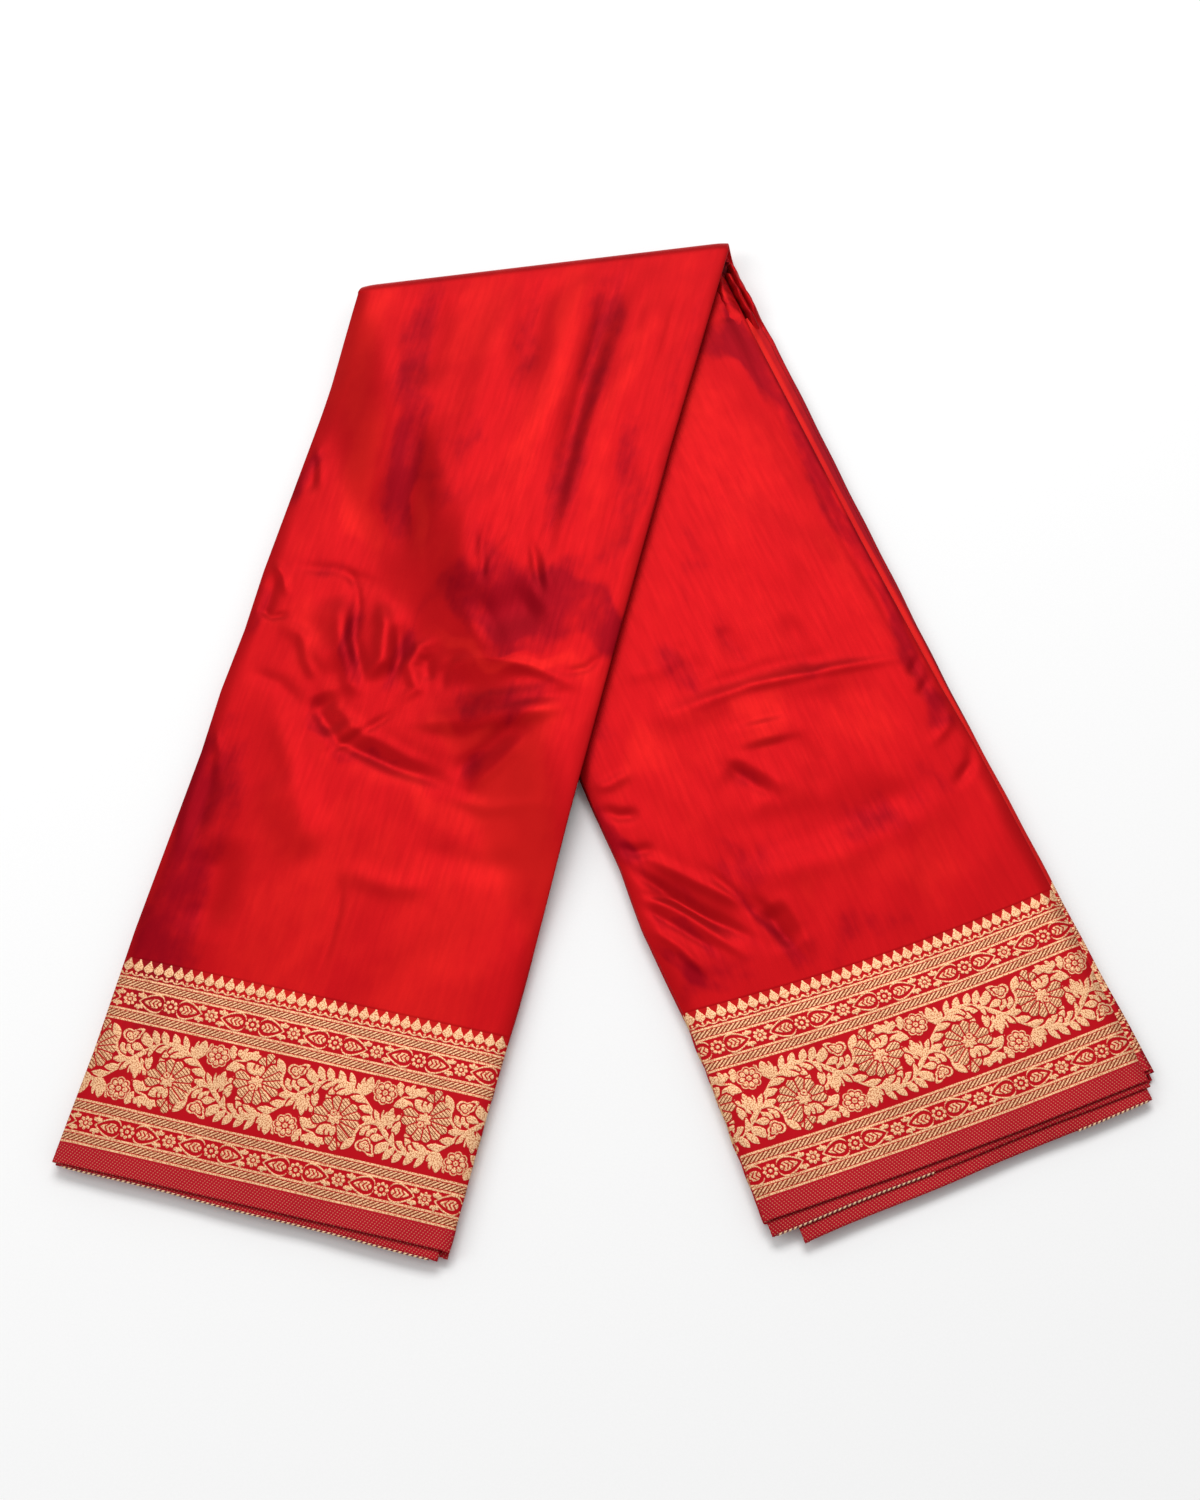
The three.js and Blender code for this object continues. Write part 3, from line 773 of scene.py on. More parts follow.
class FinishGraph:
    """The nodes of one material."""

    def __init__(self, name: str) -> None:
        """Starts an empty material.

        Args:
            name: Its name.
        """
        self.material = bpy.data.materials.new(name)
        self.material.use_nodes = True
        self.tree = self.material.node_tree
        self.tree.nodes.clear()

    def node(self, kind: str, settings: Mapping[str, object],
             values: Mapping[str | int, object]) -> bpy.types.Node:
        """Adds a node.

        Args:
            kind: The node's type.
            settings: Its own settings, which are set first.
            values: The values or links of its sockets, by name or number.

        Returns:
            The node.
        """
        made = self.tree.nodes.new(kind)
        for key, value in settings.items():
            setattr(made, key, value)
        for key, value in values.items():
            socket = made.inputs[key]
            if isinstance(value, Signal):
                self.tree.links.new(value.socket, socket)
            else:
                socket.default_value = value
        return made

    def value(self, attribute: str) -> Signal:
        """A number kept at each point of the mesh."""
        node = self.node("ShaderNodeAttribute", {"attribute_name": attribute}, {})
        return Signal(self, node.outputs["Fac"])

    def cloth(self) -> Signal:
        """The place on the cloth as a vector, in mm."""
        node = self.node("ShaderNodeAttribute", {"attribute_name": CLOTH}, {})
        return Signal(self, node.outputs["Vector"])

    def parts(self, vector: Signal) -> list[Signal]:
        """The three numbers of a vector."""
        node = self.node("ShaderNodeSeparateXYZ", {}, {0: vector})
        return [Signal(self, output) for output in node.outputs]

    def noise(self, vector: Signal, stretch: Point, detail: float = 2.0) -> Signal:
        """Noise over the cloth.

        Args:
            vector: The place on the cloth, in mm.
            stretch: One divided by the size of its features, each way.
            detail: How many finer rounds are added.

        Returns:
            The noise, from 0 to 1.
        """
        scaled = self.node("ShaderNodeVectorMath", {"operation": "MULTIPLY"}, {0: vector, 1: stretch})
        values = {"Vector": Signal(self, scaled.outputs[0]), "Scale": 1.0, "Detail": detail}
        node = self.node("ShaderNodeTexNoise", {"noise_dimensions": "3D"}, values)
        return Signal(self, node.outputs[0])

    def mix(self, share: Signal, start: Signal | Colour, end: Signal | Colour) -> Signal:
        """A colour between two others.

        Args:
            share: How far from start to end it is.
            start: The colour at 0.
            end: The colour at 1.

        Returns:
            The mixed colour.
        """
        ends = [c if isinstance(c, Signal) else (*c, 1.0) for c in (start, end)]
        node = self.node("ShaderNodeMix", {"data_type": "RGBA"}, {0: share, 6: ends[0], 7: ends[1]})
        return Signal(self, node.outputs[2])

    def bump(self, height: Signal, distance: float, strength: float) -> Signal:
        """A normal from a height.

        Args:
            height: The height, from 0 to 1.
            distance: How high 1 stands, in mm.
            strength: How strongly it shows.

        Returns:
            The normal.
        """
        values = {"Height": height, "Distance": distance * MM, "Strength": strength}
        return Signal(self, self.node("ShaderNodeBump", {}, values).outputs[0])

    def surface(self, values: Mapping[str | int, object]) -> bpy.types.Material:
        """Ends the material with a Principled shader.

        Args:
            values: The values or links of its sockets.

        Returns:
            The material.
        """
        shader = self.node("ShaderNodeBsdfPrincipled", {}, values)
        self.node("ShaderNodeOutputMaterial", {}, {0: Signal(self, shader.outputs[0])})
        return self.material


@dataclass(frozen=True)
class BorderChart:
    """The zari border's bands, in mm from its tooth tips, and the repeats of its motifs."""

    depth: float = 107.3
    tooth_pitch: float = 5.3
    tooth_depth: float = 6.7
    leaf_pitch: float = 42.25
    leaf_from_star: float = 11.6
    vine_pitch: float = 84.5
    vine_centre: float = 53.1
    vine_sway: float = 13.4
    vine_lag: float = 1.8
    ropes: tuple[Place, ...] = ((10.0, 15.7), (26.1, 32.3), (74.9, 81.0), (90.8, 96.9))
    leaf_bands: tuple[float, ...] = (20.9, 86.0)


CHART = BorderChart()


@dataclass(frozen=True)
class SilkSatin:
    """Red silk satin: a painted highlight red, a middle red and a painted shade red, mixed by painted shade
    and random clouds, and a soft tinted gloss.
    """

    name: str
    # The painted highlight red, the middle red and the painted shade red.
    highlight_red: Colour = (0.50, 0.0085, 0.008)
    middle: Colour = (0.39, 0.0036, 0.0062)
    shade_red: Colour = (0.21, 0.0006, 0.0055)
    tint: tuple[float, ...] = (1.0, 0.06, 0.05, 1.0)
    cloud_stretch: Point = (0.030, 0.014, 1.0)
    mottle_stretch: Point = (0.11, 0.07, 1.0)
    slub_stretch: Point = (0.45, 0.035, 1.0)
    warp_per_mm: float = 1.9
    weft_per_mm: float = 1.6
    roughness: float = 0.42
    metallic: float = 0.42
    gloss: float = 0.3

    def colour(self, graph: FinishGraph, cloth: Signal, slub: Signal) -> Signal:
        """The silk's red at each place, with its painted shade and painted highlight.

        Args:
            graph: The material's nodes.
            cloth: The place on the cloth.
            slub: The threads' unevenness.

        Returns:
            The colour.
        """
        cloud = graph.noise(cloth, self.cloud_stretch, 4.0)
        mottle = graph.noise(cloth, self.mottle_stretch, 3.0)
        # Painted shade and highlight kept on the mesh, over random clouds, mottle and slub.
        shade = graph.value(PAINTED_SHADE) * (0.5 + cloud * 0.7) + (cloud - 0.5) * 1.2 + (mottle - 0.5) * 0.7
        shade = shade + (slub - 0.5) * 0.14
        lit = graph.mix(shade.step(-0.9, 0.15), self.highlight_red, self.middle)
        return graph.mix(shade.step(0.15, 0.9), lit, self.shade_red)

    def material(self) -> bpy.types.Material:
        """Makes the material.

        Returns:
            The material, ready for a mesh.
        """
        graph = FinishGraph(self.name)
        cloth = graph.cloth()
        u, v = graph.parts(cloth)[:2]
        slub = graph.noise(cloth, self.slub_stretch)
        threads = (u * self.warp_per_mm).wave() * 0.5 + (v * self.weft_per_mm).wave() * 0.5
        return graph.surface({
            "Base Color": self.colour(graph, cloth, slub),
            "Metallic": self.metallic,
            "Roughness": self.roughness + (slub - 0.5) * 0.12,
            "Specular IOR Level": self.gloss,
            "Specular Tint": self.tint,
            "Normal": graph.bump(threads * 0.6 + slub * 0.4, 0.05, 0.25),
        })


@dataclass(frozen=True)
class ZariCloth:
    """Crimson silk with gold zari woven in: the gold follows the charted pattern kept on the mesh."""

    name: str
    silk: SilkSatin
    ground: Colour = (0.40, 0.0025, 0.009)
    # The darker ground red of the painted shade.
    shaded_ground: Colour = (0.20, 0.0008, 0.008)
    plain: Colour = (0.37, 0.006, 0.017)
    shadow: Colour = (0.20, 0.030, 0.013)
    gold: Colour = (0.79, 0.50, 0.28)
    gold_shade: Colour = (0.43, 0.15, 0.065)
    tint: tuple[float, ...] = (1.0, 0.2, 0.12, 1.0)
    speckle_stretch: Point = (1.7, 1.3, 1.0)
    slub_stretch: Point = (0.4, 0.05, 1.0)
    metallic: float = 0.40
    roughness: float = 0.46
    gloss: float = 0.3
    slash_row: float = 3.3
    slash_pitch: float = 2.4
    slash_slant: float = 1.33
    rope_line_at: float = 2.6
    rope_line_width: float = 1.05
    petal_pitch: float = 2.3
    petal_slant: float = 1.28
    plain_from: float = 97.4
    edge_soft: float = 0.12

    def ropes(self, u: Signal, v: Signal, way: Signal) -> tuple[Signal, Signal]:
        """The rope bands: thin lines and a row of slashes between them.

        Args:
            u: Places along the border.
            v: Places down it.
            way: 1 where u runs to the right, -1 where it runs to the left.

        Returns:
            How much gold shows, and how far inside a row of slashes each place is.
        """
        centres = [(start + end) / 2 for start, end in CHART.ropes]
        from_rope = v - centres[0]
        for near, far in zip(centres, centres[1:]):
            from_rope = from_rope - v.math("GREATER_THAN", (near + far) / 2) * (far - near)
        row = (self.slash_row / 2 - from_rope.math("ABSOLUTE")).step(-0.1, 0.1)
        gold = row * ((u + v * way * self.slash_slant) / self.slash_pitch).wave().step(0.36, 0.56)
        for line in (-self.rope_line_at, self.rope_line_at):
            inside = self.rope_line_width / 2 - (from_rope - line).math("ABSOLUTE")
            gold = gold.math("MAXIMUM", inside.step(-0.1, 0.1))
        return gold, row

    def dashes(self, u: Signal, v: Signal) -> Signal:
        """The plain band past the ropes: short slanting dashes.

        Args:
            u: Places along the border.
            v: Places down it.

        Returns:
            How much gold shows.
        """
        dash = (u * 0.62 + v * 0.31).wave().step(0.72, 0.95) * (v * 0.8 - u * 0.22).wave().step(0.45, 0.7)
        return dash * v.step(self.plain_from, self.plain_from + 1.0) * 0.36

    def material(self) -> bpy.types.Material:
        """Makes the material.

        Returns:
            The material, ready for a mesh.
        """
        graph = FinishGraph(self.name)
        cloth = graph.cloth()
        u, v, way = graph.parts(cloth)
        slashed = graph.value(SLASHED).step(-self.edge_soft, self.edge_soft)
        slash = ((u - v * self.petal_slant) / self.petal_pitch).wave().step(0.10, 0.34)
        woven = graph.value(GOLD).step(-self.edge_soft, self.edge_soft) * (1.0 - slashed * (1.0 - slash))
        rope, row = self.ropes(u, v, way)
        mask = woven.math("MAXIMUM", rope)
        speckle = graph.noise(cloth, self.speckle_stretch, 1.0)
        slub = graph.noise(cloth, self.slub_stretch)
        # Near the teeth the ground is the silk's red with its painted shade and highlight.
        ground = graph.mix(v.step(5.0, 9.5), self.silk.colour(graph, cloth, slub), self.ground)
        banded = graph.mix(v.step(self.plain_from - 0.6, self.plain_from), ground, self.plain)
        # Painted shade: the ground darkens where the kept painted shade is strong, unevenly with the slub.
        shaded_ground = graph.mix((graph.value(PAINTED_SHADE) + (slub - 0.5) * 0.7).step(0.0, 1.2), banded, self.shaded_ground)
        shaded = graph.mix(slashed.math("MAXIMUM", row), shaded_ground, self.shadow)
        thread = graph.mix(speckle.step(0.38, 0.56), self.gold_shade, self.gold)
        return graph.surface({
            "Base Color": graph.mix(mask, graph.mix(self.dashes(u, v), shaded, self.gold), thread),
            "Metallic": self.metallic + mask * 0.1,
            "Roughness": self.roughness - mask * 0.06 + (speckle - 0.5) * 0.1,
            "Specular IOR Level": self.gloss,
            "Specular Tint": self.tint,
            "Normal": graph.bump(mask * 0.6 + speckle * 0.4, 0.07, 0.35),
        })


@dataclass(frozen=True)
class FoldedEdges:
    """The silk seen at the stack's edges, with painted shade darkening each groove between two layers."""

    name: str
    lit: Colour = (0.46, 0.005, 0.013)
    # The grooves' painted shade.
    groove: Colour = (0.12, 0.0005, 0.006)
    gold: Colour = (0.74, 0.47, 0.24)
    tint: tuple[float, ...] = (1.0, 0.15, 0.1, 1.0)
    slub_stretch: Point = (0.5, 0.06, 0.4)
    metallic: float = 0.4
    roughness: float = 0.48

    def material(self) -> bpy.types.Material:
        """Makes the material.

        Returns:
            The material, ready for a mesh.
        """
        graph = FinishGraph(self.name)
        cloth = graph.cloth()
        slub = graph.noise(cloth, self.slub_stretch)
        lip = graph.value(ROLL)
        # Painted shade in the grooves between layers, unevenly with the slub; the lit red out on the lips.
        silk = graph.mix((lip + (slub - 0.5) * 0.5).step(0.1, 0.9), self.groove, self.lit)
        woven = graph.value(GOLD).step(-0.2, 0.2) * lip.step(0.2, 0.7)
        return graph.surface({
            "Base Color": graph.mix(woven, silk, self.gold),
            "Metallic": self.metallic,
            "Roughness": self.roughness + (slub - 0.5) * 0.1,
            "Specular Tint": self.tint,
            "Normal": graph.bump(slub, 0.06, 0.3),
        })


@dataclass(frozen=True)
class TwistedThreads:
    """The selvedge's twist of gold and maroon threads."""

    name: str
    gold: Colour = (0.76, 0.52, 0.30)
    maroon: Colour = (0.16, 0.006, 0.016)
    fibre_stretch: Point = (2.2, 2.2, 2.2)
    roughness: float = 0.5

    def material(self) -> bpy.types.Material:
        """Makes the material.

        Returns:
            The material, ready for a mesh.
        """
        graph = FinishGraph(self.name)
        strand = graph.value(ROLL).step(0.42, 0.58)
        fibre = graph.noise(graph.cloth(), self.fibre_stretch, 1.0)
        return graph.surface({
            "Base Color": graph.mix(strand, self.maroon, self.gold),
            "Metallic": strand * 0.45,
            "Roughness": self.roughness + (fibre - 0.5) * 0.2,
            "Normal": graph.bump(fibre, 0.08, 0.4),
        })


@dataclass(frozen=True)
class FloorPaper:
    """The studio's pale paper."""

    name: str
    shade: Colour = (0.97, 0.97, 0.97)
    darker: Colour = (0.95545, 0.95545, 0.95545)
    grain_stretch: Point = (900.0, 900.0, 900.0)

    def material(self) -> bpy.types.Material:
        """Makes the material.

        Returns:
            The material, ready for a mesh.
        """
        graph = FinishGraph(self.name)
        place = Signal(graph, graph.node("ShaderNodeTexCoord", {}, {}).outputs["Object"])
        grain = graph.noise(place, self.grain_stretch)
        return graph.surface({
            "Base Color": graph.mix(grain.step(0.2, 0.8), self.darker, self.shade),
            "Roughness": 0.9,
            "Specular IOR Level": 0.1,
        })


class Crest(NamedTuple):
    """A crest of the vine: its side is 1 where it swings towards the tooth tips, else -1."""

    at: float
    side: float
    middle: float

    def spot(self, across: float, down: float) -> Place:
        """A place near the crest, turned over where the vine swings the other way."""
        return self.at + across, self.middle + self.side * down


class ZariPattern:
    """Draws the border's motifs over places on the cloth, as distances that are above 0 inside the gold."""

    def __init__(self, chart: BorderChart, across: Array, down: Array, leaf_phase: float) -> None:
        """Starts with bare ground.

        Args:
            chart: The bands and repeats.
            across: Each place's distance along the border from a crest of the vine, in mm.
            down: Each place's distance from the tooth tips, in mm.
            leaf_phase: Where the leaf bands' first star flower lies.
        """
        self.chart = chart
        self.shape = across.shape
        self.across = across.ravel()
        self.down = down.ravel()
        self.gold = np.full(self.across.size, BARE)
        self.slashed = np.full(self.across.size, BARE)
        self.leaf_phase = leaf_phase

    def values(self) -> dict[str, Array]:
        """Draws everything.

        Returns:
            What is woven at each place, by the attribute that keeps it.
        """
        self.teeth()
        self.leaf_band_motifs()
        self.vine()
        return {GOLD: self.gold.reshape(self.shape), SLASHED: self.slashed.reshape(self.shape)}

    def repeats(self, pitch: float, phase: float, margin: float = 25.0) -> Array:
        """Where a motif's repeats fall along the border.

        Args:
            pitch: How far apart they are.
            phase: Where one of them is.
            margin: How far past the cloth's ends they go on.

        Returns:
            Their places.
        """
        first = math.floor((self.across.min() - margin - phase) / pitch)
        last = math.ceil((self.across.max() + margin - phase) / pitch)
        return phase + pitch * np.arange(first, last + 1)

    def weave(self, centre: Place, reach: float, inside: Callable[[Array, Array], Array],
              paint: Paint) -> None:
        """Weaves one shape.

        Args:
            centre: Its place.
            reach: How far from the centre it can lie.
            inside: Gives how far inside the shape each place is, from its distances across and down.
            paint: How it is woven.
        """
        close = (np.abs(self.across - centre[0]) < reach) & (np.abs(self.down - centre[1]) < reach)
        near = np.flatnonzero(close)
        value = inside(self.across[near] - centre[0], self.down[near] - centre[1])
        if paint is Paint.OPEN:
            self.gold[near] = np.minimum(self.gold[near], -value)
            self.slashed[near] = np.minimum(self.slashed[near], -value)
            return
        self.gold[near] = np.maximum(self.gold[near], value)
        if paint is Paint.SLASHED:
            self.slashed[near] = np.maximum(self.slashed[near], value)
        else:
            self.slashed[near] = np.minimum(self.slashed[near], -value)

    def disc(self, centre: Place, radius: float, paint: Paint = Paint.GOLD) -> None:
        """A round spot."""
        self.weave(centre, radius + 2.0, lambda a, b: radius - np.hypot(a, b), paint)

    def line(self, points: Sequence[Place], width: float, paint: Paint = Paint.GOLD) -> None:
        """A thin line.

        Args:
            points: What it runs through.
            width: Its width.
            paint: How it is woven.
        """
        places = np.array(points)
        middle = (places.max(0) + places.min(0)) / 2
        reach = float((places.max(0) - places.min(0)).max()) / 2 + width + 1.0
        local = [tuple(p) for p in places - middle]
        self.weave(tuple(middle), reach, lambda a, b: width / 2 - line_distance(a, b, local), paint)

    def blade(self, base: Place, heading: float, length: float, width: float, fullness: float = 1.0,
              paint: Paint = Paint.GOLD, rim: float = 0.0) -> None:
        """A pointed leaf or petal.

        Args:
            base: Where it starts.
            heading: Its direction in degrees, 0 along the border and 90 towards the tooth tips.
            length: From base to tip.
            width: At its widest.
            fullness: Above 1 the widest part is nearer the tip.
            paint: How it is woven.
            rim: Where above 0, only an outline so wide is drawn.
        """
        cos, sin = math.cos(math.radians(heading)), math.sin(math.radians(heading))

        def inside(a: Array, b: Array) -> Array:
            """Measures places against the blade.

            Args:
                a: Their distances across from its base.
                b: Their distances down from it.

            Returns:
                How far inside the blade each place is.
            """
            along = (a * cos - b * sin) / length
            half = width / 2 * np.sin(math.pi * np.clip(along, 0.0, 1.0) ** fullness) ** 0.75
            ends = length * np.minimum(along, 1.0 - along) + 0.1
            value = np.minimum(half - np.abs(a * sin + b * cos), ends)
            return rim / 2 - np.abs(value) if rim > 0.0 else value

        self.weave(base, length + 2.0, inside, paint)

    def teeth(self) -> None:
        """The row of flame-shaped teeth, with beads and scallops under it."""
        pitch, depth = self.chart.tooth_pitch, self.chart.tooth_depth
        from_tooth = np.mod(self.across, pitch) - pitch / 2
        share = np.clip(self.down / depth, 0.0, 1.0)
        flame = 2.3 * np.sin(math.pi * share ** 1.6) + 0.42 * (1.0 - share) - np.abs(from_tooth)
        flame = np.minimum(flame, np.minimum(self.down, depth - self.down) * 0.8 + 0.1)
        scallop = 0.32 - np.abs(np.hypot(from_tooth, self.down - 6.3) - 2.55)
        scallop = np.where(self.down > 6.8, scallop, BARE)
        bead = 0.8 - np.hypot(np.abs(from_tooth) - pitch / 2, self.down - 7.7)
        foot = 0.62 - np.hypot(from_tooth, self.down - 7.5)
        for value in (flame, scallop, bead, foot):
            self.gold = np.maximum(self.gold, value)

    def petal_ring(self, centre: Place, petals: int, radius: float, petal: float, paint: Paint) -> None:
        """A ring of round petals.

        Args:
            centre: Its middle.
            petals: How many there are.
            radius: How far from the middle they lie.
            petal: Each one's radius.
            paint: How they are woven.
        """
        for number in range(petals):
            turn = 2.0 * math.pi * number / petals
            place = (centre[0] + radius * math.cos(turn), centre[1] + radius * math.sin(turn))
            self.disc(place, petal, paint)

    def star_flower(self, centre: Place, reach: float) -> None:
        """A small flower of eight petals about an eye.

        Args:
            centre: Its middle.
            reach: How long its petals are.
        """
        for number in range(8):
            self.blade(centre, 45.0 * number, reach, 1.55, 2.2)
        self.disc(centre, 1.5, Paint.OPEN)
        self.disc(centre, 0.85)

    def leaf_drop(self, centre: Place, side: float) -> None:
        """A pointed drop outline round a small feathered leaf.

        Args:
            centre: Its middle.
            side: 1 where it points along the border, -1 where it points back.
        """
        a, b = centre
        heading = 0.0 if side > 0 else 180.0
        self.blade((a - side * 6.2, b), heading, 12.6, 9.2, 0.62, rim=0.85)
        self.blade((a - side * 4.7, b), heading, 8.8, 4.7, 0.62)
        for reach in (-2.4, -0.3, 1.8):
            spine, foot = a + side * reach, a + side * reach - side * 1.6
            self.line([(foot, b - 1.7), (spine, b), (foot, b + 1.7)], 0.7, Paint.OPEN)
        tip = a + side * 6.2
        for way in (-1.0, 1.0):
            for lean, length in ((-50.0, 2.8), (0.0, 2.9), (50.0, 2.8)):
                self.blade((tip, b + way * 1.8), -way * (90.0 + side * lean), length, 1.6, 1.2)

    def leaf_band_motifs(self) -> None:
        """The narrow bands of star flowers and leaf drops."""
        half, apart = self.chart.leaf_pitch / 2, self.chart.leaf_from_star
        for middle in self.chart.leaf_bands:
            for star in self.repeats(self.chart.leaf_pitch, self.leaf_phase):
                self.leaf_drop((star + apart, middle), -1.0)
                self.leaf_drop((star + 2.0 * half - apart, middle), 1.0)
                self.star_flower((star, middle), 3.5)
                self.disc((star + half, middle), 3.8, Paint.OPEN)
                self.petal_ring((star + half, middle), 8, 2.75, 0.86, Paint.GOLD)
                self.disc((star + half, middle), 0.9)

    def vine_line(self, across: Array | float) -> Array:
        """How far down the vine's stem runs at places along the border."""
        turn = 2.0 * math.pi * (across - self.chart.vine_lag) / self.chart.vine_pitch
        return self.chart.vine_centre - self.chart.vine_sway * np.cos(turn)

    def vine(self) -> None:
        """The broad band: a waving stem with leaves, fan flowers, rosettes, buds and sprigs."""
        stem = 1.3 - np.abs(self.down - self.vine_line(self.across)) * 0.8
        self.gold = np.maximum(self.gold, stem)
        half = self.chart.vine_pitch / 2
        turns = [
            Crest(crest, 1.0 if round(crest / half) % 2 == 0 else -1.0, self.chart.vine_centre)
            for crest in self.repeats(half, 0.0, 60.0)
        ]
        for part in (self.stem_leaves, self.leaf_burst, self.sprig, self.fan_flower, self.rosette, self.bud):
            for crest in turns:
                part(crest)

    def leaf(self, crest: Crest, base: Place, heading: float, length: float, width: float, fullness: float,
             gap: float) -> None:
        """A leaf near a crest.

        Args:
            crest: The crest.
            base: Where the leaf starts, across and down from the crest's middle.
            heading: Its direction in degrees, 90 away from the vine's middle.
            length: From base to tip.
            width: At its widest.
            fullness: Above 1 the widest part is nearer the tip.
            gap: How wide a gap is left open round it, past its first quarter.
        """
        across, down = crest.spot(*base)
        turn = math.radians(crest.side * heading)
        start = (across + 0.28 * length * math.cos(turn), down - 0.28 * length * math.sin(turn))
        self.blade(start, crest.side * heading, 0.72 * length + gap, width + 2.0 * gap, fullness, Paint.OPEN)
        self.blade((across, down), crest.side * heading, length, width, fullness)

    def stem_leaves(self, crest: Crest) -> None:
        """The leaves along the stem where it swings over a crest.

        Args:
            crest: The crest.
        """
        for across, down, heading, length, width in (
            (3.6, -12.6, 200, 10.8, 4.4), (2.4, -12.4, 238, 10.4, 4.6), (3.6, -12.2, 222, 8.4, 3.8),
            (5.2, -12.8, 212, 6.4, 3.6), (10.0, -11.2, 202, 9.6, 3.3),
            (-9.4, -10.6, 122, 7.6, 3.7), (-6.2, -12.2, 122, 8.0, 3.8), (-2.2, -13.0, 118, 7.2, 3.8),
            (3.9, -12.8, 121, 7.6, 3.6), (9.0, -12.2, 117, 8.2, 3.0), (-10.2, -10.2, 129, 9.2, 4.6),
        ):
            self.leaf(crest, (across, down), heading, length, width, 1.0, 0.75)
        for heading, length, width in ((63, 10.4, 3.0), (133, 7.4, 3.5), (107, 9.2, 4.2), (86, 10.0, 4.2)):
            self.leaf(crest, (15.2, -9.6), heading, length, width, 1.5, 0.7)

    def leaf_burst(self, crest: Crest) -> None:
        """The leaves on both sides of the stem where it comes down.

        Args:
            crest: The crest before them.
        """
        for across, down, heading, length, width in (
            (16.8, -7.4, 178, 8.4, 3.5), (21.6, -2.8, 172, 8.0, 3.8), (24.8, 2.2, 172, 8.8, 3.6),
            (28.2, 4.6, 128, 11.0, 3.2), (28.4, 4.4, 106, 9.6, 2.7), (29.8, 4.2, 60, 10.6, 2.9),
            (33.2, 7.4, 77, 8.6, 3.8), (34.0, 12.0, 98, 7.0, 2.2),
        ):
            self.leaf(crest, (across, down), heading, length, width, 1.0, 0.7)
        for heading, length in ((92, 8.6), (70, 9.0), (81, 10.8)):
            self.leaf(crest, (28.4, 4.0), heading, length, 2.7, 2.0, 0.6)

    def sprig(self, crest: Crest) -> None:
        """A short stalk with round leaves.

        Args:
            crest: The crest before it.
        """
        stalk = ((29.6, -7.6), (31.2, -10.6), (33.6, -12.8), (38.0, -13.7), (41.6, -16.4))
        self.line([crest.spot(*place) for place in stalk], 0.9)
        for across, down, heading, length, width, fullness in (
            (32.0, -12.8, 106, 7.4, 4.3, 1.2), (36.6, -13.9, 122, 5.6, 3.3, 1.6),
            (36.8, -13.9, 88, 6.2, 3.0, 1.6), (37.0, -13.9, 56, 5.6, 3.2, 1.6),
            (39.8, -14.8, 58, 5.8, 3.1, 1.6), (40.0, -15.0, 22, 6.2, 3.2, 1.6),
            (31.8, -9.8, -6, 8.6, 4.8, 0.9), (36.0, -11.6, 214, 7.2, 4.2, 1.0),
            (33.4, -10.4, -48, 4.6, 3.4, 1.2),
        ):
            self.leaf(crest, (across, down), heading, length, width, fullness, 0.7)

    def fan_flower(self, crest: Crest) -> None:
        """A flower opening like a fan, its petals slashed, with a tail of small petals.

        Args:
            crest: The crest that it grows from.
        """
        tail = ((-46, 6.2, 4.4), (-86, 7.4, 4.8), (-128, 5.6, 4.4))
        fan = ((190, 11.2, 4.7), (165, 11.4, 5.0), (129, 10.8, 5.6), (100, 11.4, 5.2), (73, 11.4, 5.1),
               (44, 11.8, 5.3), (20, 12.2, 5.1), (-4, 12.2, 5.2), (-28, 12.4, 5.3), (-50, 12.6, 5.2))
        for base, petals in (((6.8, 12.4), tail), ((4.3, 4.7), fan)):
            place = crest.spot(*base)
            for heading, length, width in petals:
                self.blade(place, crest.side * heading, length + 0.9, width + 1.8, 2.4, Paint.OPEN)
            for heading, length, width in petals:
                self.blade(place, crest.side * heading, length + 0.2, width, 2.4, Paint.SLASHED)
            for petal, other in zip(petals, petals[1:]):
                between = math.radians(crest.side * (petal[0] + other[0]) / 2)
                reach = petal[1] + 1.2
                tip = (place[0] + reach * math.cos(between), place[1] - reach * math.sin(between))
                self.line([place, tip], 0.75, Paint.OPEN)
        for heading, length, width in ((214, 9.6, 5.0), (240, 6.4, 3.4), (268, 5.6, 2.8)):
            self.leaf(crest, (5.0, 7.6), heading, length, width, 1.3, 0.6)
        for heading in (20, 70, 120, 170, 220, 270, 320):
            self.leaf(crest, (3.9, 4.2), heading, 3.8, 1.9, 1.4, 0.5)
        for radius, paint in ((2.0, Paint.OPEN), (1.5, Paint.GOLD), (0.55, Paint.OPEN)):
            self.disc(crest.spot(2.7, 1.6), radius, paint)

    def rosette(self, crest: Crest) -> None:
        """A lobed rosette: eight petals inside a scalloped outline.

        Args:
            crest: The crest before it.
        """
        centre = crest.spot(24.2, -13.1)
        for reach, petal, paint in ((4.1, 2.4, Paint.OPEN), (4.05, 2.0, Paint.GOLD), (3.95, 1.5, Paint.OPEN)):
            self.petal_ring(centre, 8, reach, petal, paint)
        self.disc(centre, 4.2, Paint.OPEN)
        for reach, petal in ((3.5, 1.16), (2.5, 0.6)):
            self.petal_ring(centre, 8, reach, petal, Paint.GOLD)
        for radius, paint in ((1.7, Paint.OPEN), (1.25, Paint.GOLD), (0.4, Paint.OPEN)):
            self.disc(centre, radius, paint)

    def heart(self, crest: Crest, middle: Place, size: float, paint: Paint) -> None:
        """The bud's heart shape.

        Args:
            crest: The crest after it.
            middle: Its middle, across and down from the crest's.
            size: How large it is beside the whole heart.
            paint: How it is woven.
        """
        for across, down, radius in ((-1.7, -0.6, 2.8), (1.9, -1.0, 2.6), (0.2, 1.4, 2.3)):
            self.disc(crest.spot(middle[0] + size * across, middle[1] + size * down), size * radius, paint)
        tip = crest.spot(middle[0] + size * 1.4, middle[1] - size * 1.6)
        self.blade(tip, crest.side * 34, size * 5.2, size * 3.4, 0.8, paint)

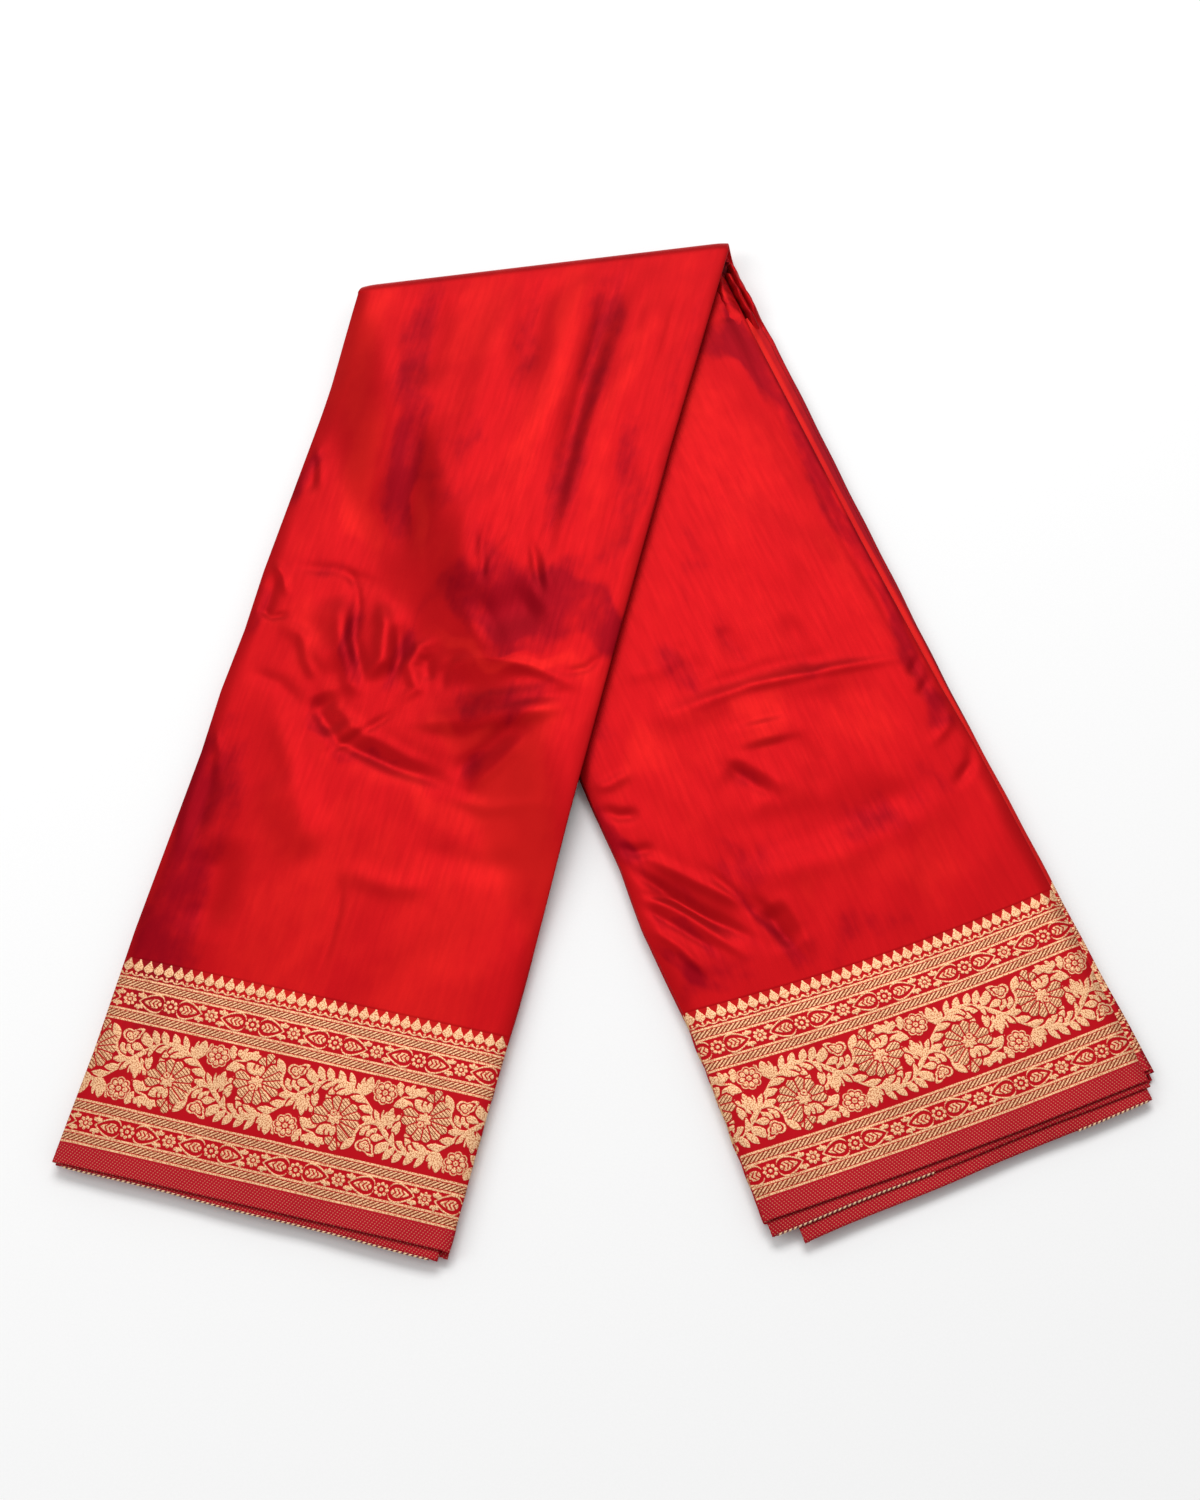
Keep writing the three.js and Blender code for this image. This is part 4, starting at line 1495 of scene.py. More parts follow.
    def bud(self, crest: Crest) -> None:
        """A heart-shaped bud over a crescent of sepals, held in a curved stalk.

        Args:
            crest: The crest after it.
        """
        stalk = ((-26.4, -12.6), (-26.7, -9.4), (-25.6, -6.2), (-23.2, -3.8), (-20.4, -2.6), (-16.6, -2.8),
                 (-12.6, -5.4))
        self.line([crest.spot(*place) for place in stalk], 1.25)
        for across, down, heading, length, width, fullness in (
            (-26.0, -11.6, 127, 8.6, 3.9, 1.0), (-20.3, -3.9, 124, 7.0, 3.5, 1.3),
            (-16.6, -4.4, 128, 7.2, 3.7, 1.3), (-12.2, -8.4, 168, 7.0, 3.9, 1.4),
        ):
            self.leaf(crest, (across, down), heading, length, width, fullness, 0.6)
        middle = (-20.6, -14.0)
        for size, paint in ((1.2, Paint.OPEN), (1.0, Paint.GOLD), (0.76, Paint.OPEN), (0.56, Paint.GOLD)):
            self.heart(crest, middle, size, paint)
        for across, down in ((-1.3, -0.6), (0.2, -1.2), (1.5, -0.8), (-0.5, 0.6), (0.9, 0.5)):
            self.disc(crest.spot(middle[0] + across, middle[1] + down), 0.38, Paint.OPEN)


@dataclass(frozen=True)
class PatternPhase:
    """Where the border's repeats fall on a leg."""

    direction: float
    offset: float
    leaf_phase: float

    def values(self, leg: Leg, u: Array, v: Array, slip: float = 0.0) -> dict[str, Array]:
        """What is woven at places on a leg.

        Args:
            leg: The leg.
            u: Places across it.
            v: Places down it.
            slip: How much further up the cloth lies than the top sheet, in mm.

        Returns:
            The pattern's distances, and the place on the cloth with the direction that the pattern runs in.
        """
        start, end = leg.border_line(u), leg.hem_line(u)
        down = (v - start + slip) * CHART.depth / (end - start)
        across = self.direction * u - self.offset
        woven = ZariPattern(CHART, across, down, self.leaf_phase).values()
        return {**woven, CLOTH: np.stack([across, down, self.direction + 0.0 * down], axis=-1)}


LEFT_PHASE = PatternPhase(direction=1.0, offset=-61.0, leaf_phase=-27.8)
RIGHT_PHASE = PatternPhase(direction=-1.0, offset=55.4, leaf_phase=11.1)


@dataclass
class FaceSheets:
    """A leg's top sheet: its silk field and its zari border."""

    leg: Leg
    phase: PatternPhase
    silk: bpy.types.Material
    zari: bpy.types.Material
    field_cell: float = 1.4
    border_cell: float = 0.48
    field_length: float = 470.0
    seam_past: float = 1.2
    seam_sink: float = 0.35
    bend_lead: float = 2.0
    gold_rise: float = 0.06
    gold_soft: float = 0.3
    flat_width: float = 0.204
    flat_border: float = 0.11
    flat_field_left: float = 0.508
    flat_field_right: float = 0.482
    hem_roll: RolledEdge = RolledEdge(radius=0.28, tuck=2.5, steps=3)
    side_roll: RolledEdge = RolledEdge()

    def flat_rows(self, share: Array, out: Array, drop: Array, down: Array, past: Array,
                  sink: Array) -> Patch:
        """The flat part of the sheet.

        Args:
            share: Each column's share of the way across.
            out: How far out each column is moved.
            drop: How far down each column is moved.
            down: Each row's place, 0 at the axis, 1 at the border and 2 at the hem.
            past: How far past its line each row is moved.
            sink: How far down each row is moved.

        Returns:
            The grid, with the places on the leg as its values.
        """
        u, v = STACK.station(self.leg, share[None, :], down[:, None])
        v = v + past[:, None]
        height = STACK.leg_height + STACK.relief(self.leg, u, v) - drop[None, :] - sink[:, None]
        points = STACK.point(self.leg, u + out[None, :], v, height)
        return Patch(points, {"u": u, "v": v})

    def bend_rows(self, share: Array, out: Array, drop: Array) -> tuple[Array, Array, Array]:
        """The part round the fold, from the surface below up to the axis.

        Args:
            share: Each column's share of the way across.
            out: How far out each column is moved.
            drop: How far in each column is moved.

        Returns:
            The points, and their places across and down on the leg.
        """
        reach = STACK.leg_height + STACK.gap / 2
        steps = round(math.pi * reach / self.field_cell)
        angle = np.linspace(math.pi, 0.0, steps, endpoint=False)[:, None]
        u = self.leg.across(share, 0.0)[None, :]
        turn = STACK.edge_turn(self.leg, u, np.zeros(u.shape))
        radius = reach - drop[None, :] - STACK.turn_drop * turn * turn * np.maximum(np.cos(angle), 0.0)
        points = STACK.bend_point(u + out[None, :], angle, radius)
        under = points[:1].copy()
        under[..., 1] -= self.bend_lead
        v = STACK.crossing(self.leg, u)[0] - reach * angle
        points = np.concatenate([under, points])
        u, v = np.broadcast_arrays(u, np.concatenate([v[:1] - self.bend_lead, v]))
        return points, u, v

    def field(self) -> None:
        """Builds the silk field."""
        columns = round(2.0 * STACK.half_width / self.field_cell)
        rows = round(self.field_length / self.field_cell)
        share, out, drop = self.side_roll.across(columns)
        down = np.append(np.linspace(0.0, 1.0, rows + 1), 1.0)
        past = np.append(np.zeros(rows + 1), self.seam_past)
        sink = np.append(np.zeros(rows + 1), self.seam_sink)
        flat = self.flat_rows(share, out, drop, down, past, sink)
        points, u, v = flat.points, flat.values["u"], flat.values["v"]
        if self.leg is STACK.left:
            bend, bend_u, bend_v = self.bend_rows(share, out, drop)
            points = np.concatenate([bend, points])
            u, v = np.concatenate([bend_u, u]), np.concatenate([bend_v, v])
        # The leg's painted shade and highlight, kept at each point.
        values = {CLOTH: np.stack([u, v, 0.0 * u], axis=-1), PAINTED_SHADE: self.leg.tone(u, v)}
        name, node = f"{self.leg.name}_silk_field", f"{self.leg.name}_face_field"
        piece = build_piece(name, [Patch(points, values)], self.silk, [node])

    def border(self) -> None:
        """Builds the zari border, its gold standing a little proud of the silk."""
        columns = round(2.0 * STACK.half_width / self.border_cell)
        rows = round(CHART.depth / self.border_cell)
        share, out, drop = self.side_roll.across(columns)
        over, under = self.hem_roll.profile()
        down = np.concatenate([np.linspace(1.0, 2.0, rows + 1), np.full(over.size, 2.0)])
        past = np.concatenate([np.zeros(rows + 1), over])
        sink = np.concatenate([np.zeros(rows + 1), under])
        flat = self.flat_rows(share, out, drop, down, past, sink)
        u, v = flat.values["u"], flat.values["v"]
        woven = self.phase.values(self.leg, u, v)
        proud = self.gold_rise * smoothstep(woven[GOLD], -self.gold_soft, self.gold_soft)
        points = flat.points + np.stack([0.0 * u, 0.0 * u, proud], axis=-1)
        # The leg's painted shade and highlight, kept at each point.
        values = {**woven, PAINTED_SHADE: self.leg.tone(u, v)}
        name, node = f"{self.leg.name}_zari_border", f"{self.leg.name}_face_border"
        piece = build_piece(name, [Patch(points, values)], self.zari, [node])


@dataclass
class InnerLayers:
    """A leg's hidden layers: one rounded body whose edges show each folded layer as a lip."""

    leg: Leg
    phase: PatternPhase
    finish: bpy.types.Material
    lips: int = 12
    lip_steps: int = 4
    groove: float = 1.3
    long_wave: Ripple = Ripple(0.35, 41.0)
    short_wave: Ripple = Ripple(0.25, 17.0)
    layer_spread: float = 0.45
    set_back: float = 0.2
    hem_set_back: float = 0.6
    columns: int = 36
    bend_steps: int = 14
    field_rows: int = 110
    border_rows: int = 110
    hem_height: float = 4.4
    hem_run: float = 18.0
    slit: float = 0.04
    ledge_above: float = 0.52
    field_length: float = 480.0
    hem_width: float = 190.0
    bend_length: float = 20.0
    tooth_shift: float = 5.3

    def lip(self, rise: Array, along: Array, seed: float) -> tuple[Array, Array]:
        """The outline of the folded edges at one side.

        Args:
            rise: How high in the stack, from 0 to 1.
            along: How far along the edge, in mm.
            seed: Sets this side's own unevenness.

        Returns:
            How far out the edge stands, and how far out of its groove it is, from 0 to 1.
        """
        layer = np.minimum(np.floor(rise * self.lips), self.lips - 1.0)
        within = rise * self.lips - layer
        rounded = np.sqrt(np.clip(1.0 - (2.0 * within - 1.0) ** 2, 0.0, 1.0))
        wander = self.long_wave.at(along, 2.3 * layer + seed)
        wander = wander + self.short_wave.at(along, 4.1 * layer * seed)
        own = self.layer_spread * np.sin(7.7 * layer + seed)
        return own + wander - self.groove * (1.0 - rounded) - self.set_back, rounded

    def place(self, share: Array, down: Array, rise: Array, out: Array,
              past: Array) -> tuple[Array, Array, Array]:
        """Points of the body.

        Args:
            share: How far across, from 0 to 1.
            down: -1 to 0 round the bend, then 1 at the border and 2 at the hem.
            rise: How high in the body, from 0 to 1.
            out: How far out at its sides.
            past: How far past the hem.

        Returns:
            The points, and their places across and down on the leg.
        """
        share, down, rise, out, past = np.broadcast_arrays(share, down, rise, out, past)
        u, v = STACK.station(self.leg, share, np.maximum(down, 0.0))
        v = v + past
        ledge = self.leg.ledge * (rise > self.ledge_above)
        low = self.leg.edge(Side.LEFT, v)
        high = self.leg.edge(Side.STACK, v) - ledge
        own_u = lerp(low, high, share) + out
        bottom = (STACK.inner_bend - STACK.gap / 2) * (1.0 - np.clip(down * 25.0, 0.0, 1.0))
        slack = STACK.pressed_slack if self.leg is STACK.right else 0.0
        hem_share = smoothstep(v - self.leg.hem_line(own_u), -2.0 * self.hem_run, -self.hem_run)
        top = lerp(STACK.layers_height - slack, self.hem_height, hem_share) + STACK.relief(self.leg, u, v)
        flat = STACK.point(self.leg, own_u, v, lerp(bottom, top, rise))
        quarter = math.pi / 2 - self.slit
        from_flat = -np.minimum(down, 0.0) * quarter
        angle = from_flat if self.leg is STACK.left else math.pi - from_flat
        turn = STACK.turn_drop * np.maximum(np.cos(angle), 0.0) * ((share <= 0.0) | (share >= 1.0))
        outer = STACK.layers_height + STACK.gap / 2 - turn
        radius = lerp(STACK.inner_bend, outer, rise if self.leg is STACK.left else 1.0 - rise)
        bend_u = lerp(self.leg.edge(Side.LEFT, 0.0), self.leg.edge(Side.STACK, 0.0) - ledge, share) + out
        bent = STACK.bend_point(bend_u, angle, radius)
        points = np.where((down < 0.0)[..., None], bent, flat)
        return points, own_u, v + self.bend_length * np.minimum(down, 0.0)

    def patch(self, share: Array, down: Array, rise: Array, flipped: bool) -> Patch:
        """One face of the body as a grid.

        Args:
            share: How far across, from 0 to 1.
            down: -1 to 0 round the bend, then 1 at the border and 2 at the hem.
            rise: How high in the body, from 0 to 1.
            flipped: Whether its faces turn the other way.

        Returns:
            The grid, with the border's gold on the lips.
        """
        share, down, rise = np.broadcast_arrays(share, down, rise)
        along = lerp(0.0, self.field_length, down)
        left_out, left_lip = self.lip(rise, along, 1.3)
        right_out, right_lip = self.lip(rise, along, 2.9)
        hem_out, hem_lip = self.lip(rise, share * self.hem_width, 4.7)
        at_left, at_right, at_hem = share <= 0.0, share >= 1.0, down >= 2.0
        out = np.where(at_left, -left_out, 0.0) + np.where(at_right, right_out, 0.0)
        past = np.where(at_hem, hem_out - self.hem_set_back, 0.0)
        points, u, v = self.place(share, down, rise, out, past)
        # How far out of its groove each point is: the edges' finish paints shade into the grooves by it.
        roll = np.where(at_left, left_lip, np.where(at_right, right_lip, hem_lip))
        start, end = self.leg.border_line(u), self.leg.hem_line(u)
        layer = np.floor(rise * self.lips)
        from_teeth = (v - start) * CHART.depth / (end - start) + 0.7 * np.sin(layer)
        across = self.tooth_shift * layer + 3.0 * rise * self.lips
        gold = np.where(at_hem, BARE, ZariPattern(CHART, across, from_teeth, 0.0).values()[GOLD])
        cloth = np.stack([u, v, rise * 8.0], axis=-1)
        return Patch(points, {CLOTH: cloth, ROLL: roll, GOLD: gold}, flipped)

    def build(self) -> None:
        """Builds the body."""
        down = np.concatenate([
            np.linspace(-1.0, 0.0, self.bend_steps, endpoint=False),
            np.linspace(0.0, 1.0, self.field_rows, endpoint=False),
            np.linspace(1.0, 2.0, self.border_rows + 1),
        ])[:, None]
        share = np.linspace(0.0, 1.0, self.columns + 1)[None, :]
        rise = np.linspace(0.0, 1.0, self.lips * self.lip_steps + 1)[None, :]
        whole = np.array([[1.0]])
        patches = [
            self.patch(share, down, whole, False),
            self.patch(share, down, 0.0 * whole, True),
            self.patch(0.0 * whole, down, rise, True),
            self.patch(whole, down, rise, False),
            self.patch(share.T, -1.0 * whole, rise, False),
            self.patch(share.T, 2.0 * whole, rise, True),
        ]
        name, node = f"{self.leg.name}_folded_layers", f"{self.leg.name}_inner_layers"
        build_piece(name, patches, self.finish, [node], weld=WELD)


@dataclass(frozen=True)
class HemSheet:
    """One of the layers that show past the top sheet's hem, in mm."""

    number: int
    bed: float
    from_u: float
    to_u: float
    from_hem: float
    to_hem: float
    slot: Slot
    twist_from: float
    twist_to: float
    waver: Ripple = Ripple(0.25, 13.0)

    def hem(self, share: Array, u: Array) -> Array:
        """How far down the leg its wavering hem is, at shares of its width and their places across."""
        return lerp(self.from_hem, self.to_hem, share) + self.waver.at(u, self.number)


LEFT_HEM_SHEETS = (
    HemSheet(number=2, bed=6.1, from_u=-96.5, to_u=93.2, from_hem=573.0, to_hem=577.2,
             slot=Slot.ZARI, twist_from=0.02, twist_to=0.98),
    HemSheet(number=3, bed=4.7, from_u=30.0, to_u=97.2, from_hem=573.4, to_hem=575.0,
             slot=Slot.LAYERS, twist_from=0.0, twist_to=0.0),
)
RIGHT_HEM_SHEETS = (
    HemSheet(number=2, bed=6.1, from_u=-98.0, to_u=95.4, from_hem=575.4, to_hem=573.4,
             slot=Slot.ZARI, twist_from=0.01, twist_to=0.42),
    HemSheet(number=3, bed=4.7, from_u=-85.0, to_u=93.6, from_hem=583.4, to_hem=579.4,
             slot=Slot.LAYERS, twist_from=0.78, twist_to=0.99),
)


@dataclass
class HemLayers:
    """The sheets past a leg's hem, with their twisted selvedges."""

    leg: Leg
    phase: PatternPhase
    sheets: tuple[HemSheet, ...]
    zari: bpy.types.Material
    threads: bpy.types.Material
    run: float = 15.0
    cell: float = 0.9
    thickness: float = 1.0
    # Painted shade on the hem sheets, with a slight wave.
    tone: float = 0.25
    shade_wave: Ripple = Ripple(0.2, 21.0)
    roll: RolledEdge = RolledEdge(radius=0.35, tuck=2.0, steps=3)
    twist_radius: float = 0.62
    twist_pitch: float = 2.5
    twist_step: float = 0.32
    twist_sides: int = 12
    twist_past: float = 0.3
    twist_sink: float = 0.45
    twist_flatness: float = 0.85
    flat_margin: float = 6.0
    flat_turn: float = 4.0

    def surface_height(self, sheet: HemSheet) -> float:
        """The height of a sheet's upper face."""
        return sheet.bed + self.thickness

    def build_sheet(self, sheet: HemSheet) -> None:
        """Builds one sheet.

        Args:
            sheet: Its place and sizes.
        """
        columns = round((sheet.to_u - sheet.from_u) / self.cell)
        share, out, drop = self.roll.across(columns)
        over, under = self.roll.profile()
        rows = round(self.run / self.cell)
        back = np.concatenate([np.linspace(self.run, 0.0, rows + 1), np.zeros(over.size)])[:, None]
        past = np.concatenate([np.zeros(rows + 1), over])[:, None]
        sink = np.concatenate([np.zeros(rows + 1), under])[:, None]
        u = lerp(sheet.from_u, sheet.to_u, share)[None, :]
        hem = sheet.hem(share[None, :], u)
        v = hem - back + past
        u = u + 0.0 * v
        height = self.surface_height(sheet) + STACK.relief(self.leg, u, v) - drop[None, :] - sink
        points = STACK.point(self.leg, u + out[None, :], v, height)
        down = CHART.depth - (hem - v)
        blank = np.full(v.shape, BARE)
        cloth = np.stack([self.phase.direction * u, down, self.phase.direction + 0.0 * v], axis=-1)
        # The hem sheets get an even painted shade with a slight wave.
        values = {CLOTH: cloth, GOLD: blank, SLASHED: blank, PAINTED_SHADE: self.tone + self.shade_wave.at(u)}
        name = f"{self.leg.name}_hem_sheet_{sheet.number}"
        node = f"{self.leg.name}_hem_layer_{sheet.number}"
        piece = build_piece(name, [Patch(points, values)], self.zari, [node])
        flat = ((sheet.to_u - sheet.from_u + self.flat_margin) * MM, (self.run + self.flat_turn) * MM)
        self.build_twist(sheet)

    def build_twist(self, sheet: HemSheet) -> list[bpy.types.Object]:
        """Builds the twisted selvedge along a sheet's hem.

        Args:
            sheet: The sheet.

        Returns:
            The twist, or nothing where the sheet has none.
        """
        if sheet.twist_to <= sheet.twist_from:
            return []
        length = (sheet.twist_to - sheet.twist_from) * (sheet.to_u - sheet.from_u)
        share = np.linspace(sheet.twist_from, sheet.twist_to, round(length / self.twist_step))[:, None]
        turn = np.linspace(0.0, 2.0 * math.pi, self.twist_sides + 1)[None, :]
        u = lerp(sheet.from_u, sheet.to_u, share)
        strand = 0.5 + 0.5 * np.cos(2.0 * turn - 2.0 * math.pi * u / self.twist_pitch)
        radius = self.twist_radius * (0.82 + 0.18 * strand)
        line = sheet.hem(share, u) + self.twist_past
        v = line + radius * np.cos(turn)
        centre = self.surface_height(sheet) - self.twist_sink + STACK.relief(self.leg, u, line)
        height = centre + self.twist_flatness * radius * np.sin(turn)
        points = STACK.point(self.leg, u + 0.0 * v, v, height)
        roll = 0.5 + 0.5 * np.cos(turn - 2.0 * math.pi * u / self.twist_pitch)
        cloth = np.stack(np.broadcast_arrays(u, turn, 0.0 * v), axis=-1)
        name = f"{self.leg.name}_selvedge_twist_{sheet.number}"
        return [build_piece(name, [Patch(points, {CLOTH: cloth, ROLL: roll})], self.threads)]

    def build(self) -> None:
        """Builds every sheet."""
        for sheet in self.sheets:
            self.build_sheet(sheet)


@dataclass(frozen=True)
class SideFold:
    """A folded layer that fans out along the right leg's outer edge, in mm."""

    number: int
    bed: float
    reach: tuple[Place, ...]
    slip: float

    def out(self, v: Array) -> Array:
        """How far out its rounded edge stands at v."""
        return np.interp(v, [place[0] for place in self.reach], [place[1] for place in self.reach])


SIDE_FOLDS = (
    SideFold(number=1, bed=4.75, slip=4.5,
             reach=((79, 98.2), (200, 97.6), (340, 97.4), (400, 98.0), (566, 99.4))),
    SideFold(number=2, bed=3.3, slip=6.0,
             reach=((79, 100.0), (90, 100.5), (200, 99.7), (300, 98.5), (400, 98.9), (567.4, 101.0))),
)


@dataclass
class FannedSideFolds:
    """The folded layers along the right leg's outer edge, with the border's pattern at their ends."""

    zari: bpy.types.Material
    height: float = 1.15
    width: float = 8.9
    rib: float = 1.9
    crumpled: float = 34.0
    wave: Ripple = Ripple(0.22, 23.0)
    ripple: Ripple = Ripple(0.12, 7.0)
    edge_crumple: Ripple = Ripple(0.5, 4.1)
    top_crumple: Ripple = Ripple(0.5, 5.3)
    shade_wave: Ripple = Ripple(0.2, 31.0)
    rib_light: float = 0.6
    side_shade: float = 1.3
    round_steps: int = 9
    flat_steps: int = 13
    seam: float = 452.0
    field_cell: float = 1.8
    border_cell: float = 0.55
    flat_width: float = 0.0205
    woven_at: float = 95.0
    woven_across: float = 6.0

    def build_fold(self, fold: SideFold) -> None:
        """Builds one fold.

        Args:
            fold: Its place and sizes.
        """
        leg = STACK.right
        start, end = fold.reach[0][0], fold.reach[-1][0]
        v = np.concatenate([
            np.linspace(start, self.seam, round((self.seam - start) / self.field_cell), endpoint=False),
            np.linspace(self.seam, end, round((end - self.seam) / self.border_cell) + 1),
        ])[:, None]
        half = self.height / 2
        angle = np.linspace(-math.pi / 2, math.pi / 2, self.round_steps)
        flat = np.linspace(1.0, 0.0, self.flat_steps)[1:]
        round_share = np.concatenate([flat[::-1] * 0.0, np.cos(angle), flat * 0.0])
        inward = np.concatenate([1.0 - flat[::-1], np.zeros(angle.size), 1.0 - flat])[None, :]
        rounded = half + half * np.sin(angle)
        lift = np.concatenate([np.zeros(flat.size), rounded, np.full(flat.size, self.height)])
        crumple = 1.0 - smoothstep(v, start, start + self.crumpled)
        out = fold.out(v) - half + self.wave.at(v, fold.number) + self.ripple.at(v)
        out = out + crumple * self.edge_crumple.at(v, fold.number)
        inner = leg.edge(Side.STACK, v) - self.width
        u = lerp(out, inner, inward) + half * round_share[None, :]
        height = fold.bed + lift[None, :] + crumple * self.top_crumple.at(v, u / 1.9)
        points = STACK.point(leg, u, v + 0.0 * u, height)
        arc = self.woven_across * inward * np.sign(lift[None, :] - half)
        woven = RIGHT_PHASE.values(leg, self.woven_at - arc + 0.0 * u, v + 0.0 * u, fold.slip)
        # Painted highlight on the rib and painted shade on the fold's outer side.
        from_rib = np.abs(u - leg.edge(Side.RIGHT, v) - self.rib)
        shade = self.side_shade * smoothstep(from_rib, 0.5, 2.4)
        tone = self.shade_wave.at(v, fold.number) - self.rib_light + shade
        values = {**woven, PAINTED_SHADE: tone}
        name = f"right_fanned_fold_{fold.number}"
        node = f"right_side_fold_{fold.number}"
        piece = build_piece(name, [Patch(points, values, flipped=True)], self.zari, [node])
        flat = (self.flat_width, (end - start) * MM)

    def build(self) -> None:
        """Builds both folds."""
        for fold in SIDE_FOLDS:
            self.build_fold(fold)


@dataclass(frozen=True)
class Gather:
    """A crumpled inner layer at the fold's right end, in the right leg's frame, in mm."""

    number: int
    start: Place
    end: Place
    bed: float
    height: float
    width: float
    waves: float
    sway: float
    roundness: float


GATHERS = (
    Gather(1, (97.2, 38), (98.2, 100), bed=3.9, height=6.4, width=4.6, waves=2.5, sway=1.3, roundness=1.0),
    Gather(2, (93.2, 44), (95.4, 104), bed=3.9, height=7.1, width=4.6, waves=2.0, sway=0.7, roundness=1.1),
    Gather(3, (86.6, 42), (85.8, 86), bed=7.8, height=1.9, width=7.8, waves=1.5, sway=1.2, roundness=1.9),
)


@dataclass
class FoldGathers:
    """The crumpled layers at the fold's right end."""

    silk: bpy.types.Material
    rows: int = 70
    sides: int = 22
    least: float = 0.45
    lead: float = 0.2
    ripple: float = 0.16
    ripples: float = 3.3
    pinch: float = 0.12
    pinches: float = 41.0
    taper: float = 14.0
    tone: float = 0.1
    shade_swing: float = 0.35

    def build_gather(self, gather: Gather) -> None:
        """Builds one ridge that sways and swells along its length.

        Args:
            gather: Its place and sizes.
        """
        share = np.linspace(0.0, 1.0, self.rows)[:, None]
        turn = np.linspace(0.0, 2.0 * math.pi, self.sides + 1)[None, :]
        sway = gather.sway * np.sin(share * gather.waves * 2.0 * math.pi)
        arch = np.sin(math.pi * np.minimum(share + self.lead, 1.0))
        swell = lerp(self.least * (1.0 - share), 1.0, arch)
        swell = swell + self.ripple * np.cos(share * self.ripples * 2.0 * math.pi) * (1.0 - share)
        pinch = self.pinch * np.sin(share * self.pinches + 3.0 * turn) * arch
        across = np.cos(turn) * (1.0 + pinch)
        rise = np.maximum(np.sin(turn), 0.0) ** gather.roundness
        taper = np.clip(np.minimum(share, 1.0 - share) * self.taper, 0.02, 1.0) ** 0.5
        u = lerp(gather.start[0], gather.end[0], share) + 0.5 * gather.width * across * taper
        u = u + 0.5 * sway * rise
        v = lerp(gather.start[1], gather.end[1], share) + 0.0 * u
        height = gather.bed + rise * gather.height * swell * taper
        points = STACK.point(STACK.right, u, v, height)
        cloth = np.stack([u * 3.0, v * 2.0, height], axis=-1)
        # Painted shade and painted highlight alternating round and along the ridge.
        tone = self.tone + self.shade_swing * np.sin(share * 19.0 + 2.0 * turn) + 0.0 * u
        name = f"gathered_layer_{gather.number}"
        node = f"fold_gather_{gather.number}"
        patch = Patch(points, {CLOTH: cloth, PAINTED_SHADE: tone}, flipped=True)
        build_piece(name, [patch], self.silk, [node], weld=WELD)

    def build(self) -> None:
        """Builds every ridge."""
        for gather in GATHERS:
            self.build_gather(gather)


@dataclass(frozen=True)
class Softbox:
    """One of the studio's soft lights, in metres and watts."""

    name: str
    at: Point
    size: Place
    power: float


